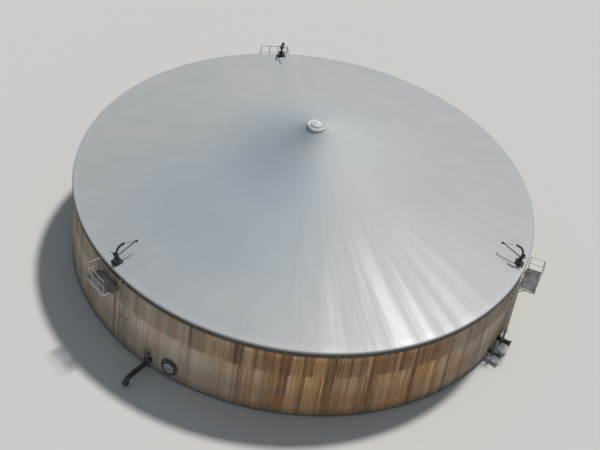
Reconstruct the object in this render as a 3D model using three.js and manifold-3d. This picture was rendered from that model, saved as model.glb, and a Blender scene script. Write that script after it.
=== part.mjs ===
// Biogas digester: a round concrete tank with board cladding and a tent-shaped membrane roof.
// Millimetres, +Z up. The origin is the centre of the tank's underside, at ground level.
// Azimuths are degrees from +X towards +Y. In a turned group local +Y points outwards from the tank.

import * as THREE from 'three';
import Module from 'manifold-3d';
import { mergeVertices } from 'three/addons/utils/BufferGeometryUtils.js';

const wasm = await Module();
wasm.setup();

// Driving dimensions of the tank
const ROOF_RADIUS = 15000;
const RIM_HEIGHT = 5600;
const PEAK_RISE = 5100;
const TENT_SHARE = 0.3;
const CROWN_RADIUS = 500;
const CLOTH = 45;
const SKIRT_DROP = 180;
const WALL_OUTER = 14700;
const WALL_THICKNESS = 300;
const WALL_TOP = 5540;
const FLOOR_THICKNESS = 300;
const CLADDING_THICKNESS = 180;
const CLADDING_FOOT = 150;
const CLADDING_TOP = 5150;
const COPING_TOP = 5555;

// The shell is built of sixty-degree segments with flat facets of 3.75 degrees
const SEGMENTS = 6;
const FACETS = 96;
const FACET = 360 / FACETS;
const GAP = 0.3;
// How far parts that are welded together reach into each other
const WELD = 10;

// Driving dimensions of the fittings
const DAVIT_AZIMUTHS = { left: 210, right: 329, back: 89 };
const DAVIT_RADIUS = WALL_OUTER - WALL_THICKNESS / 2;
const SOCKET_TOP = 6050;
const PLATFORM_AZIMUTHS = { left: 210, right: 330, back: 90 };
const LADDER_SIDES = { left: 1, right: -1, back: 1 };
const DECK_TOP = 4450;
const DECK_LENGTH = 2000;
const DECK_INNER = 14920;
const DECK_OUTER = 16080;
const RAIL_HEIGHT = 1100;
const MANWAY_AZIMUTH = 230.625;
const MANWAY_HEIGHT = 1000;
const MANWAY_BORE = 450;
const VALVE_AZIMUTHS = { drain: 225, transfer: 317.5, feed: 322 };
const VALVE_HEIGHTS = { drain: 640, transfer: 620, feed: 760 };
const PIPE_RADIUS = 160;

const rad = THREE.MathUtils.degToRad;
const claddingOuter = WALL_OUTER + CLADDING_THICKNESS;
const copingOuter = ROOF_RADIUS - CLOTH - GAP;
// Distance from the tank's axis to the middle of a facet whose corners lie on the given radius
const facetFace = (radius) => radius * Math.cos(rad(FACET / 2));

// Materials
const paint = (color, roughness, metalness = 0) =>
  new THREE.MeshStandardMaterial({ color, roughness, metalness });
const concrete = paint('#8d867c', 0.9);
const boards = paint('#7c6449', 0.85);
const darkSheet = paint('#2b2a28', 0.55, 0.6);
const membrane = paint('#b4b8bb', 0.45);
const galvanised = paint('#9aa0a3', 0.45, 0.8);
const blackPaint = paint('#1d1e20', 0.5, 0.3);
const capWhite = paint('#d5dadd', 0.4);
const pipePaint = paint('#26292c', 0.5, 0.4);
const manwayGrey = paint('#a8abad', 0.45, 0.7);

// Solids: a closed geometry becomes a Manifold, and a Manifold becomes a geometry again
const solid = (geometry) => {
  const source = geometry.index ? geometry.toNonIndexed() : geometry;
  const bare = new THREE.BufferGeometry();
  bare.setAttribute('position', source.getAttribute('position').clone());
  const merged = mergeVertices(bare, 1e-3);
  const positions = merged.getAttribute('position').array;
  const corners = Uint32Array.from(merged.index.array);
  const kept = [];
  for (let i = 0; i < corners.length; i += 3) {
    const [a, b, c] = corners.slice(i, i + 3);
    if (a !== b && b !== c && c !== a) kept.push(a, b, c);
  }
  const made = new wasm.Manifold(
    new wasm.Mesh({ numProp: 3, vertProperties: positions, triVerts: Uint32Array.from(kept) }),
  );
  if (made.volume() > 0) return made;
  const flipped = [];
  for (let i = 0; i < kept.length; i += 3) flipped.push(kept[i], kept[i + 2], kept[i + 1]);
  return new wasm.Manifold(
    new wasm.Mesh({ numProp: 3, vertProperties: positions, triVerts: Uint32Array.from(flipped) }),
  );
};

const geometryOf = (body) => {
  const { numProp, vertProperties, triVerts } = body.getMesh();
  const geometry = new THREE.BufferGeometry();
  const positions = new Float32Array((vertProperties.length / numProp) * 3);
  for (let i = 0; i < positions.length / 3; i += 1) {
    for (let k = 0; k < 3; k += 1) positions[3 * i + k] = vertProperties[numProp * i + k];
  }
  geometry.setAttribute('position', new THREE.BufferAttribute(positions, 3));
  geometry.setIndex(Array.from(triVerts));
  geometry.computeVertexNormals();
  return geometry;
};

const joined = (...geometries) => geometries.map(solid).reduce((sum, next) => sum.add(next));

const digester = new THREE.Group();
const add = (name, body, material, group = digester) => {
  const mesh = new THREE.Mesh(geometryOf(body), material);
  mesh.name = name;
  group.add(mesh);
};

// A group whose local +Y axis points outwards at the given azimuth
const outwardGroup = (azimuth) => {
  const group = new THREE.Group();
  group.rotation.z = rad(azimuth - 90);
  digester.add(group);
  return group;
};

// Basic shapes
const box = (x0, x1, y0, y1, z0, z1) =>
  new THREE.BoxGeometry(x1 - x0, y1 - y0, z1 - z0).translate(
    (x0 + x1) / 2, (y0 + y1) / 2, (z0 + z1) / 2,
  );

// A round bar from one point to another
const bar = (from, to, radius, sides = 6) => {
  const start = new THREE.Vector3(...from);
  const end = new THREE.Vector3(...to);
  const along = end.clone().sub(start);
  const turn = new THREE.Quaternion().setFromUnitVectors(
    new THREE.Vector3(0, 1, 0), along.clone().normalize(),
  );
  return new THREE.CylinderGeometry(radius, radius, along.length(), sides)
    .applyQuaternion(turn)
    .translate(...start.add(end).multiplyScalar(0.5).toArray());
};

// A rectangular beam in a plane of constant x, from one (y, z) to another
const beam = (x, width, from, to, depth) => {
  const along = new THREE.Vector2(to[0] - from[0], to[1] - from[1]);
  return new THREE.BoxGeometry(width, along.length(), depth)
    .rotateX(along.angle())
    .translate(x, (from[0] + to[0]) / 2, (from[1] + to[1]) / 2);
};

// A profile of [radius, height] points turned about the tank's axis
const turned = (profile, facets = FACETS) =>
  new THREE.LatheGeometry(profile.map(([r, z]) => new THREE.Vector2(r, z)), facets)
    .rotateX(Math.PI / 2);

const ring = (inner, outer, bottom, top) =>
  turned([[inner, bottom], [outer, bottom], [outer, top], [inner, top], [inner, bottom]]);

// The wedge between two azimuths, half a gap short on each side
const wedge = (fromAzimuth, toAzimuth) => {
  const reach = 2 * ROOF_RADIUS;
  const edge = (azimuth, side) => {
    const outwards = new THREE.Vector2(Math.cos(rad(azimuth)), Math.sin(rad(azimuth)));
    const start = new THREE.Vector2(-outwards.y, outwards.x).multiplyScalar((side * GAP) / 2);
    return [start.clone().add(outwards), start.addScaledVector(outwards, reach)];
  };
  const [nearFrom, farFrom] = edge(fromAzimuth, 1);
  const [nearTo, farTo] = edge(toAzimuth, -1);
  const middle = rad((fromAzimuth + toAzimuth) / 2);
  const farMiddle = new THREE.Vector2(Math.cos(middle), Math.sin(middle)).multiplyScalar(reach);
  const shape = new THREE.Shape([nearFrom, farFrom, farMiddle, farTo, nearTo]);
  const height = RIM_HEIGHT + 2 * PEAK_RISE;
  return new THREE.ExtrudeGeometry(shape, { depth: height, bevelEnabled: false }).translate(0, 0, -1);
};

const segmentOf = (body, count, index) =>
  body.intersect(solid(wedge((360 / count) * index, (360 / count) * (index + 1))));

// Floor slab
add('floor_slab', solid(turned([
  [0, 0],
  [WALL_OUTER, 0],
  [WALL_OUTER, FLOOR_THICKNESS],
  [0, FLOOR_THICKNESS],
])), concrete);

// Openings through wall and cladding for the manway's neck and the three pipes
const throughWall = (azimuth, height, radius, sides) =>
  bar(
    [0, WALL_OUTER - 2 * WALL_THICKNESS, height],
    [0, ROOF_RADIUS + WALL_THICKNESS, height],
    radius, sides,
  ).rotateZ(rad(azimuth - 90));
const PIPE_SIDES = 14;
const NECK_SIDES = 24;
const NECK_WALL = 30;
const neckRadius = MANWAY_BORE + NECK_WALL;
const wallCuts = [throughWall(MANWAY_AZIMUTH, MANWAY_HEIGHT, neckRadius + GAP, NECK_SIDES)];
for (const [name, azimuth] of Object.entries(VALVE_AZIMUTHS)) {
  wallCuts.push(throughWall(azimuth, VALVE_HEIGHTS[name], PIPE_RADIUS + GAP, PIPE_SIDES));
}
const cutter = wallCuts.map(solid).reduce((sum, next) => sum.add(next));

// Concrete wall, on the slab, and the board cladding outside it
const wallRing = solid(
  ring(WALL_OUTER - WALL_THICKNESS, WALL_OUTER, FLOOR_THICKNESS + GAP, WALL_TOP),
).subtract(cutter);
const claddingRing = solid(
  ring(WALL_OUTER + GAP, claddingOuter, CLADDING_FOOT, CLADDING_TOP - GAP),
).subtract(cutter);
for (let i = 0; i < SEGMENTS; i += 1) {
  add(`wall_segment_${i + 1}`, segmentOf(wallRing, SEGMENTS, i), concrete);
  add(`cladding_${i + 1}`, segmentOf(claddingRing, SEGMENTS, i), boards);
}

// Sheet-metal coping round the head of the wall, in two halves
const copingRing = solid(ring(WALL_OUTER + GAP, copingOuter, CLADDING_TOP, COPING_TOP));
for (let i = 0; i < 2; i += 1) {
  add(`coping_${i + 1}`, segmentOf(copingRing, 2, i), darkSheet);
}

// Membrane roof: a straight cone mixed with the logarithmic rise of cloth pulled to a point
const roofHeight = (radius) => {
  const share = radius / ROOF_RADIUS;
  const straight = 1 - share;
  const drawn = Math.log(1 / share) / Math.log(ROOF_RADIUS / CROWN_RADIUS);
  return RIM_HEIGHT + PEAK_RISE * ((1 - TENT_SHARE) * straight + TENT_SHARE * drawn);
};
const ROOF_STEPS = 6;
const roofRadii = [];
for (let i = 0; i <= ROOF_STEPS; i += 1) {
  roofRadii.push(CROWN_RADIUS + (ROOF_RADIUS - CROWN_RADIUS) * (i / ROOF_STEPS) ** 2);
}
// The underside, one cloth thickness below the top at right angles to the slope
const underside = (radius) => {
  const step = 1;
  const slope = (roofHeight(radius) - roofHeight(radius + step)) / step;
  return roofHeight(radius) - CLOTH * Math.hypot(1, slope);
};
const skirtFoot = RIM_HEIGHT - SKIRT_DROP;
const roofProfile = [
  ...roofRadii.map((r) => [r, roofHeight(r)]),
  [ROOF_RADIUS, skirtFoot],
  [ROOF_RADIUS - CLOTH, skirtFoot],
  [ROOF_RADIUS - CLOTH, underside(ROOF_RADIUS - CLOTH)],
  ...roofRadii.slice(0, -1).reverse().map((r) => [r, underside(r)]),
];
roofProfile.push(roofProfile[0]);
const SOCKET_WIDTH = 340;
const SOCKET_DEPTH = 280;
const BOOT_GAP = 2;
const socketBlock = (growth, bottom, top) => box(
  -SOCKET_WIDTH / 2 - growth, SOCKET_WIDTH / 2 + growth,
  DAVIT_RADIUS - SOCKET_DEPTH / 2 - growth, DAVIT_RADIUS + SOCKET_DEPTH / 2 + growth,
  bottom, top,
);
let roofCloth = solid(turned(roofProfile));
for (const azimuth of Object.values(DAVIT_AZIMUTHS)) {
  const slot = socketBlock(BOOT_GAP, WALL_TOP, SOCKET_TOP).rotateZ(rad(azimuth - 90));
  roofCloth = roofCloth.subtract(solid(slot));
}
for (let i = 0; i < SEGMENTS; i += 1) {
  add(`roof_gore_${i + 1}`, segmentOf(roofCloth, SEGMENTS, i), membrane);
}

// Centre column with the flared head that carries the peak of the cloth
const COLUMN_RADIUS = 200;
const HEAD_DEPTH = 500;
const SPIGOT_RADIUS = 430;
const SPIGOT_TOP = 10640;
const HEAD_REACH = 1200;
const headRadii = roofRadii.filter((r) => r < HEAD_REACH);
const headRim = headRadii[headRadii.length - 1];
add('centre_column', solid(turned([
  [0, FLOOR_THICKNESS + GAP],
  [COLUMN_RADIUS, FLOOR_THICKNESS + GAP],
  [COLUMN_RADIUS, underside(headRim) - HEAD_DEPTH],
  [headRim, underside(headRim) - HEAD_DEPTH / 5],
  ...headRadii.slice().reverse().map((r) => [r, underside(r) - GAP]),
  [SPIGOT_RADIUS, underside(CROWN_RADIUS) - GAP],
  [SPIGOT_RADIUS, SPIGOT_TOP],
  [0, SPIGOT_TOP],
], FACETS / 4)), galvanised);

// Clamping ring at the peak, and the small rain cap on the column's head inside it
const RING_OUTER = 580;
const CAP_RADIUS = 340;
const CAP_SIDE = 80;
const CAP_DOME = 30;
const CAP_TOP = 10900;
const ringSeat = roofHeight(CROWN_RADIUS) + GAP;
add('peak_ring', solid(turned([
  [SPIGOT_RADIUS + GAP, ringSeat],
  [RING_OUTER, ringSeat],
  [RING_OUTER, SPIGOT_TOP],
  [SPIGOT_RADIUS + GAP, SPIGOT_TOP],
  [SPIGOT_RADIUS + GAP, ringSeat],
], FACETS / 4)), galvanised);
add('peak_cap', solid(turned([
  [0, SPIGOT_TOP + GAP],
  [CAP_RADIUS, SPIGOT_TOP + GAP],
  [CAP_RADIUS, SPIGOT_TOP + CAP_SIDE],
  [CAP_RADIUS / 2, CAP_TOP - CAP_DOME],
  [CAP_RADIUS / 4, CAP_TOP],
  [0, CAP_TOP],
], FACETS / 4)), capWhite);

// Davits: a socket block on the wall's head, and a jib that swivels on a pin in it
const PIN_RADIUS = 60;
const PIN_CLEARANCE = 3;
const PIN_DEPTH = 200;
const BEARING_RADIUS = 140;
const BEARING = 30;
const davitSocket = () => {
  const axis = (z) => [0, DAVIT_RADIUS, z];
  return joined(
    socketBlock(0, WALL_TOP + GAP, SOCKET_TOP - BEARING),
    bar(axis(SOCKET_TOP - 2 * BEARING), axis(SOCKET_TOP), BEARING_RADIUS, PIPE_SIDES),
  ).subtract(solid(
    bar(
      axis(SOCKET_TOP - PIN_DEPTH - BEARING), axis(SOCKET_TOP + BEARING),
      PIN_RADIUS + PIN_CLEARANCE, PIPE_SIDES,
    ),
  ));
};

// The jib: a curved mast that leans outwards and turns in at its head, and a thin boom tied to it.
// Points are [along the rim, outwards from the swivel's axis, above the socket].
const fromSwivel = (x, y, z) => [x, DAVIT_RADIUS + y, SOCKET_TOP + z];
const MAST_RADIUS = 70;
const MAST_CURVE = [[0, BEARING / 2], [25, 220], [60, 430], [20, 680], [-160, 880], [-430, 960]];
const MAST_STEPS = 8;
const MAST_CAP = [[-430, 955], [-510, 950]];
const TIE_START = [-400, 955];
const BOOM_FOOT = [0, 140];
const BOOM_TIP = [-1300, 780];
const BOOM_RADIUS = 32;
const TIE_RADIUS = 14;
const SHEAVE_RADIUS = 75;
const SHEAVE_HALF = 34;
const FORK_HALF = 22;
const WINCH_HALF = 110;
const WINCH_FOOT = [20, 230];
const WINCH_HEAD = [240, 400];
const DRUM_RADIUS = 90;
const DRUM_CENTRE = [170, 315];
const CRANK_END = [330, 420];
const CRANK_RADIUS = 16;
const SHEAVE_OFFSET = [-50, -40];
const FORK = { back: 90, front: 40, low: 90, high: 50 };
const DRUM_WIDTH = 80;
const HANDLE_LENGTH = 110;
const davitJib = () => {
  const at = (x, [y, z]) => fromSwivel(x, y, z);
  const neck = new THREE.CatmullRomCurve3(
    MAST_CURVE.map((point) => new THREE.Vector3(...at(0, point))),
  );
  const section = new THREE.Shape().absarc(0, 0, MAST_RADIUS, 0, 2 * Math.PI);
  const mast = new THREE.ExtrudeGeometry(section, {
    curveSegments: 4, steps: MAST_STEPS, extrudePath: neck, bevelEnabled: false,
  });
  const [, tipY, tipZ] = at(0, BOOM_TIP);
  const [, sheaveY, sheaveZ] = at(0, BOOM_TIP.map((value, i) => value + SHEAVE_OFFSET[i]));
  const [, footY, footZ] = at(0, WINCH_FOOT);
  const [, headY, headZ] = at(0, WINCH_HEAD);
  const hub = WINCH_HALF + DRUM_RADIUS - CRANK_RADIUS;
  return joined(
    bar(at(0, [0, -PIN_DEPTH]), at(0, [0, BEARING]), PIN_RADIUS, PIPE_SIDES),
    bar(at(0, [0, 2 * GAP]), at(0, [0, BEARING]), BEARING_RADIUS, PIPE_SIDES),
    mast,
    bar(at(0, MAST_CAP[0]), at(0, MAST_CAP[1]), MAST_RADIUS * 0.7),
    bar(at(0, BOOM_FOOT), at(0, BOOM_TIP), BOOM_RADIUS),
    bar(at(0, TIE_START), at(0, BOOM_TIP), TIE_RADIUS),
    box(
      -FORK_HALF, FORK_HALF, tipY - FORK.back, tipY + FORK.front, tipZ - FORK.low, tipZ + FORK.high,
    ),
    bar([-SHEAVE_HALF, sheaveY, sheaveZ], [SHEAVE_HALF, sheaveY, sheaveZ], SHEAVE_RADIUS, 10),
    box(-WINCH_HALF, WINCH_HALF, footY, headY, footZ, headZ),
    bar(
      at(WINCH_HALF - 2 * WELD, DRUM_CENTRE), at(WINCH_HALF - 2 * WELD + DRUM_WIDTH, DRUM_CENTRE),
      DRUM_RADIUS, 10,
    ),
    bar(
      at(WINCH_HALF + DRUM_WIDTH - 3 * WELD, DRUM_CENTRE), at(WINCH_HALF + DRUM_WIDTH, DRUM_CENTRE),
      2 * CRANK_RADIUS,
    ),
    bar(at(hub, DRUM_CENTRE), at(hub, CRANK_END), CRANK_RADIUS),
    bar(at(hub - WELD, CRANK_END), at(hub + HANDLE_LENGTH, CRANK_END), CRANK_RADIUS),
  );
};
for (const [side, azimuth] of Object.entries(DAVIT_AZIMUTHS)) {
  const group = outwardGroup(azimuth);
  add(`davit_${side}_socket`, davitSocket(), blackPaint, group);
  add(`davit_${side}_jib`, davitJib(), blackPaint, group);
}

// Service platforms outside the wall, each below its davit
const TUBE = 24;
const DECK_PLATE = 50;
const EDGE = 60;
const EDGE_DEPTH = 120;
const wallFace = facetFace(claddingOuter) + GAP;
const halfDeck = DECK_LENGTH / 2;
const under = DECK_TOP - EDGE_DEPTH;
const BRACKET_PLATE = 15;
const BRACKET_DROP = 850;
const BRACKET_HALF = 80;
const ARM_HALF = 30;
const ARM_DEPTH = 90;
const STRUT = [50, 60];
const STRUT_FOOT_RISE = 70;
const STRUT_HEAD_INSET = 200;
const kneeBracket = () => {
  const plateFace = wallFace + BRACKET_PLATE;
  const strutFoot = [plateFace + WELD, under - BRACKET_DROP + STRUT_FOOT_RISE];
  const strutHead = [DECK_OUTER - STRUT_HEAD_INSET, under - ARM_DEPTH / 2];
  return [
    box(-BRACKET_HALF, BRACKET_HALF, wallFace, plateFace, under - BRACKET_DROP, under - WELD),
    box(
      -ARM_HALF, ARM_HALF, plateFace - WELD / 2, DECK_OUTER - EDGE, under - ARM_DEPTH, under + WELD,
    ),
    beam(0, STRUT[0], strutFoot, strutHead, STRUT[1]),
  ];
};
const platformDeck = () => {
  const parts = [
    box(-halfDeck, halfDeck, DECK_INNER, DECK_OUTER, DECK_TOP - DECK_PLATE, DECK_TOP),
    box(-halfDeck, halfDeck, DECK_OUTER - EDGE, DECK_OUTER, under, DECK_TOP),
    box(-halfDeck, halfDeck, DECK_INNER, DECK_INNER + EDGE, under, DECK_TOP),
    box(-halfDeck, -halfDeck + EDGE, DECK_INNER, DECK_OUTER, under, DECK_TOP),
    box(halfDeck - EDGE, halfDeck, DECK_INNER, DECK_OUTER, under, DECK_TOP),
  ];
  for (const turn of [-FACET / 2, FACET / 2]) {
    parts.push(...kneeBracket().map((piece) => piece.rotateZ(rad(turn))));
  }
  return joined(...parts);
};
const railTop = DECK_TOP + RAIL_HEIGHT;
const TOE_BOARD = 100;
const TOE_BOARD_HALF = 5;
const FOOT_PLATE = 10;
const FOOT_PLATE_HALF = [45, 25];
// A guard rail between two [x, y] points on the deck
const railPanel = (from, to, posts) => {
  const rail = (z, radius) => bar([...from, z], [...to, z], radius);
  const parts = [rail(railTop - TUBE, TUBE), rail(DECK_TOP + RAIL_HEIGHT / 2, TUBE * 0.8)];
  const length = Math.hypot(to[0] - from[0], to[1] - from[1]);
  const angle = Math.atan2(to[1] - from[1], to[0] - from[0]);
  const toeFoot = DECK_TOP + FOOT_PLATE;
  parts.push(
    box(0, length, -TOE_BOARD_HALF, TOE_BOARD_HALF, toeFoot, toeFoot + TOE_BOARD)
      .rotateZ(angle).translate(from[0], from[1], 0),
  );
  for (let i = 0; i < posts; i += 1) {
    const share = (i + 0.5 * TUBE / length) / (posts - 1 + TUBE / length);
    const x = from[0] + (to[0] - from[0]) * share;
    const y = from[1] + (to[1] - from[1]) * share;
    parts.push(bar([x, y, DECK_TOP + GAP], [x, y, railTop - TUBE], TUBE));
    const [halfX, halfY] = FOOT_PLATE_HALF;
    parts.push(box(
      x - halfX, x + halfX, y - halfY, y + halfY, DECK_TOP + GAP, DECK_TOP + FOOT_PLATE,
    ));
  }
  return joined(...parts);
};
const LADDER_OFFSET = 1.5 * FACET;
const LADDER_HALF = 225;
const STILE = 25;
const STILE_INNER = 15090;
const STILE_OUTER = 15155;
const LADDER_FOOT = 200;
const RUNG_PITCH = 280;
const RUNG_RADIUS = 15;
const FIRST_RUNG = 350;
const WALL_TIES = [700, 2450, 4200];
const TIE_HALF = [10, 30];
const TIE_PLATE_HALF = [50, 60];
const TIE_PLATE = 10;
const ladder = () => {
  const middle = (STILE_INNER + STILE_OUTER) / 2;
  const parts = [];
  for (const side of [-1, 1]) {
    const x = side * LADDER_HALF;
    parts.push(box(
      x - STILE / 2, x + STILE / 2, STILE_INNER, STILE_OUTER, LADDER_FOOT, railTop,
    ));
    for (const z of WALL_TIES) {
      for (const [[halfX, halfZ], reach] of [
        [TIE_HALF, STILE_INNER + WELD / 2],
        [TIE_PLATE_HALF, wallFace + TIE_PLATE],
      ]) {
        parts.push(box(x - halfX, x + halfX, wallFace, reach, z - halfZ, z + halfZ));
      }
    }
  }
  for (let z = FIRST_RUNG; z < DECK_TOP + TOE_BOARD; z += RUNG_PITCH) {
    parts.push(bar([-LADDER_HALF, middle, z], [LADDER_HALF, middle, z], RUNG_RADIUS, 5));
  }
  return joined(...parts);
};
for (const [side, azimuth] of Object.entries(PLATFORM_AZIMUTHS)) {
  const group = outwardGroup(azimuth);
  const ladderSide = LADDER_SIDES[side];
  const outerLine = DECK_OUTER - EDGE / 2;
  // The end rail stands at the end of the deck away from the ladder
  const endLine = ladderSide * (halfDeck - EDGE / 2);
  const inset = TUBE + 25;
  add(`platform_${side}_deck`, platformDeck(), galvanised, group);
  add(
    `platform_${side}_front_rail`,
    railPanel([-halfDeck + EDGE / 2, outerLine], [halfDeck - EDGE / 2, outerLine], 4),
    galvanised, group,
  );
  add(
    `platform_${side}_end_rail`,
    railPanel([endLine, DECK_INNER + 2.5 * EDGE], [endLine, outerLine - inset - GAP], 2),
    galvanised, group,
  );
  add(
    `ladder_${side}`, ladder(), galvanised,
    outwardGroup(azimuth + ladderSide * LADDER_OFFSET),
  );
}

// Manway: a flanged neck through wall and cladding, with a bolted cover and a bar handle
const FLANGE_RADIUS = 580;
const FLANGE = 30;
const COVER_BOSS = 0.8 * MANWAY_BORE;
const HANDLE_HALF = 160;
const HANDLE_STANDOFF = 70;
const HANDLE_RADIUS = 14;
const NECK_STANDOFF = 100;
const neckInner = WALL_OUTER - WALL_THICKNESS;
const neckOuter = claddingOuter + NECK_STANDOFF;
const manwayGroup = outwardGroup(MANWAY_AZIMUTH);
const manwayDisc = (from, to, radius) =>
  bar([0, from, MANWAY_HEIGHT], [0, to, MANWAY_HEIGHT], radius, NECK_SIDES);
add('manway_frame', joined(
  manwayDisc(neckInner, neckOuter, neckRadius),
  manwayDisc(neckOuter - FLANGE, neckOuter, FLANGE_RADIUS),
).subtract(solid(manwayDisc(neckInner - FLANGE, neckOuter + FLANGE, MANWAY_BORE))),
pipePaint, manwayGroup);
const bossFace = neckOuter + 2 * FLANGE;
const grip = bossFace + HANDLE_STANDOFF;
const handleBar = (fromX, fromY, toX, toY) =>
  bar([fromX, fromY, MANWAY_HEIGHT], [toX, toY, MANWAY_HEIGHT], HANDLE_RADIUS);
add('manway_cover', joined(
  manwayDisc(neckOuter + GAP, neckOuter + GAP + FLANGE, FLANGE_RADIUS),
  manwayDisc(neckOuter + GAP, bossFace, COVER_BOSS),
  handleBar(-HANDLE_HALF, bossFace - WELD, -HANDLE_HALF, grip),
  handleBar(HANDLE_HALF, bossFace - WELD, HANDLE_HALF, grip),
  handleBar(
    -HANDLE_HALF - HANDLE_RADIUS, grip - WELD / 2, HANDLE_HALF + HANDLE_RADIUS, grip - WELD / 2,
  ),
), manwayGrey, manwayGroup);

// Pipe connections: sleeve through the wall, gate valve with handwheel, blanked outer flange.
// The drain runs further out and bends down to its flange, where tankers are filled.
const PIPE_FLANGE = 225;
const FLANGE_PLATE = 28;
const VALVE_STANDOFF = 260;
const VALVE_LENGTH = 134;
const OUTER_STUB = 500;
const DRAIN_RUN = 1500;
const BEND_RADIUS = 305;
const BEND_STEPS = 5;
const GATE_HALF = 245;
const GATE_HEAD = 380;
const YOKE_REACH = 80;
const YOKE_BAR = 24;
const WHEEL_HEIGHT = 880;
const WHEEL_RADIUS = 200;
const WHEEL_RIM = 18;
const SPOKE_RADIUS = 12;
const SPINDLE_RADIUS = 20;
const YOKE_HEAD = 36;
const YOKE_TO_WHEEL = 60;
const valveFirst = claddingOuter + VALVE_STANDOFF;
const valveEnd = valveFirst + VALVE_LENGTH;
const pipeDisc = (height, from, to, radius) =>
  bar([0, from, height], [0, to, height], radius, PIPE_SIDES);

// A straight outlet that ends in a blanked flange
const straightOutlet = (height) => {
  const last = valveEnd + OUTER_STUB;
  return [
    pipeDisc(height, valveEnd - WELD, last, PIPE_RADIUS),
    pipeDisc(height, last - 2 * FLANGE_PLATE, last, PIPE_FLANGE),
  ];
};

// A longer outlet with a quarter bend down to its blanked flange
const bentOutlet = (height) => {
  const bendFrom = valveEnd + DRAIN_RUN;
  const bendFoot = height - BEND_RADIUS;
  const bendPoints = [];
  for (let i = 0; i <= BEND_STEPS; i += 1) {
    const angle = (Math.PI / 2) * (i / BEND_STEPS);
    bendPoints.push(new THREE.Vector3(
      0, bendFrom + BEND_RADIUS * Math.sin(angle), bendFoot + BEND_RADIUS * Math.cos(angle),
    ));
  }
  const section = new THREE.Shape().absarc(0, 0, PIPE_RADIUS, 0, 2 * Math.PI);
  const bend = new THREE.ExtrudeGeometry(section, {
    curveSegments: PIPE_SIDES / 2, steps: BEND_STEPS, bevelEnabled: false,
    extrudePath: new THREE.CatmullRomCurve3(bendPoints),
  });
  const end = bendFrom + BEND_RADIUS;
  return [
    pipeDisc(height, valveEnd - WELD, bendFrom + WELD, PIPE_RADIUS),
    bend,
    bar([0, end, bendFoot + WELD], [0, end, bendFoot - 2 * FLANGE_PLATE], PIPE_FLANGE, PIPE_SIDES),
  ];
};

const valve = (height, outlet) => {
  const stem = (valveFirst + valveEnd) / 2;
  const wheel = height + WHEEL_HEIGHT;
  const yokeFoot = height + GATE_HEAD - WELD;
  const yokeHead = wheel - YOKE_TO_WHEEL;
  const upright = (x) => box(
    x - YOKE_BAR / 2, x + YOKE_BAR / 2, stem - YOKE_BAR, stem + YOKE_BAR, yokeFoot, yokeHead - WELD,
  );
  return joined(
    pipeDisc(height, neckInner, valveEnd, PIPE_RADIUS),
    pipeDisc(height, valveFirst, valveFirst + FLANGE_PLATE, PIPE_FLANGE),
    box(
      -GATE_HALF, GATE_HALF, valveFirst + FLANGE_PLATE, valveEnd - FLANGE_PLATE,
      height - GATE_HALF, height + GATE_HEAD,
    ),
    pipeDisc(height, valveEnd - FLANGE_PLATE, valveEnd, PIPE_FLANGE),
    ...outlet(height),
    upright(-YOKE_REACH),
    upright(YOKE_REACH),
    box(
      -YOKE_REACH - YOKE_BAR / 2, YOKE_REACH + YOKE_BAR / 2, stem - YOKE_BAR, stem + YOKE_BAR,
      yokeHead - YOKE_HEAD, yokeHead,
    ),
    bar([0, stem, yokeFoot], [0, stem, wheel + 2 * YOKE_BAR], SPINDLE_RADIUS),
    new THREE.TorusGeometry(WHEEL_RADIUS, WHEEL_RIM, 5, 14).translate(0, stem, wheel),
    bar([-WHEEL_RADIUS, stem, wheel], [WHEEL_RADIUS, stem, wheel], SPOKE_RADIUS),
    bar([0, stem - WHEEL_RADIUS, wheel], [0, stem + WHEEL_RADIUS, wheel], SPOKE_RADIUS),
  );
};
for (const [name, azimuth] of Object.entries(VALVE_AZIMUTHS)) {
  const outlet = name === 'drain' ? bentOutlet : straightOutlet;
  add(`${name}_valve`, valve(VALVE_HEIGHTS[name], outlet), pipePaint, outwardGroup(azimuth));
}

export default digester;
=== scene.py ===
import math
import random

import bpy
from mathutils import Matrix, Vector


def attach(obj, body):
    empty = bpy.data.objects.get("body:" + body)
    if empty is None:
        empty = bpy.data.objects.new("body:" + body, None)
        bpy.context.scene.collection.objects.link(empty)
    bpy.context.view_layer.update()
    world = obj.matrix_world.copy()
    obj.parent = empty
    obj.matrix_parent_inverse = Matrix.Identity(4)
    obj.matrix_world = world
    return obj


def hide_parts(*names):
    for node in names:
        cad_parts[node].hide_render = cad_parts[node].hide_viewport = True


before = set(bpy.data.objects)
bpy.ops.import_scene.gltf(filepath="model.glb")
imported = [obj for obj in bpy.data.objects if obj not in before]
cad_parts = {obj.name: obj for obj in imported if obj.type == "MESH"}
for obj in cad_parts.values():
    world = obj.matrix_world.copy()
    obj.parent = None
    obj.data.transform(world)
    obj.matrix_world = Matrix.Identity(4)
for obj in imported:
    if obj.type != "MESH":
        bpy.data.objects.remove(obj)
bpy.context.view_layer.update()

# The view. The camera stands about 67 m up in front of the tank and looks down on it through a long lens,
# from where the photograph was taken. The floor is pale and the light soft, with the sun high on the far
# right, as the shading of the roof shows.
CAMERA_PLACE = (-18.80, -73.44, 66.60)
CAMERA_HEADING = 14.36
CAMERA_DIP = 40.31
CAMERA_ROLL = 9.51
CAMERA_LENS = 90.0
VIEW_REACH = 1000
SKY_COLOUR = (0.68, 0.84, 1.0, 1)
SKY_STRENGTH = 0.30
FLOOR_REACH = 400
FLOOR_COLOUR = (0.62, 0.60, 0.57, 1)
FLOOR_ROUGHNESS = 0.9
rad = math.radians


def turn(degrees, axis):
    return Matrix.Rotation(rad(degrees), 4, axis)


def shift(x, y, z):
    return Matrix.Translation((x, y, z))


def new_object(name, data):
    """Puts a camera, a lamp or a mesh into the scene."""
    made = bpy.data.objects.new(name, data)
    bpy.context.scene.collection.objects.link(made)
    return made


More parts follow.
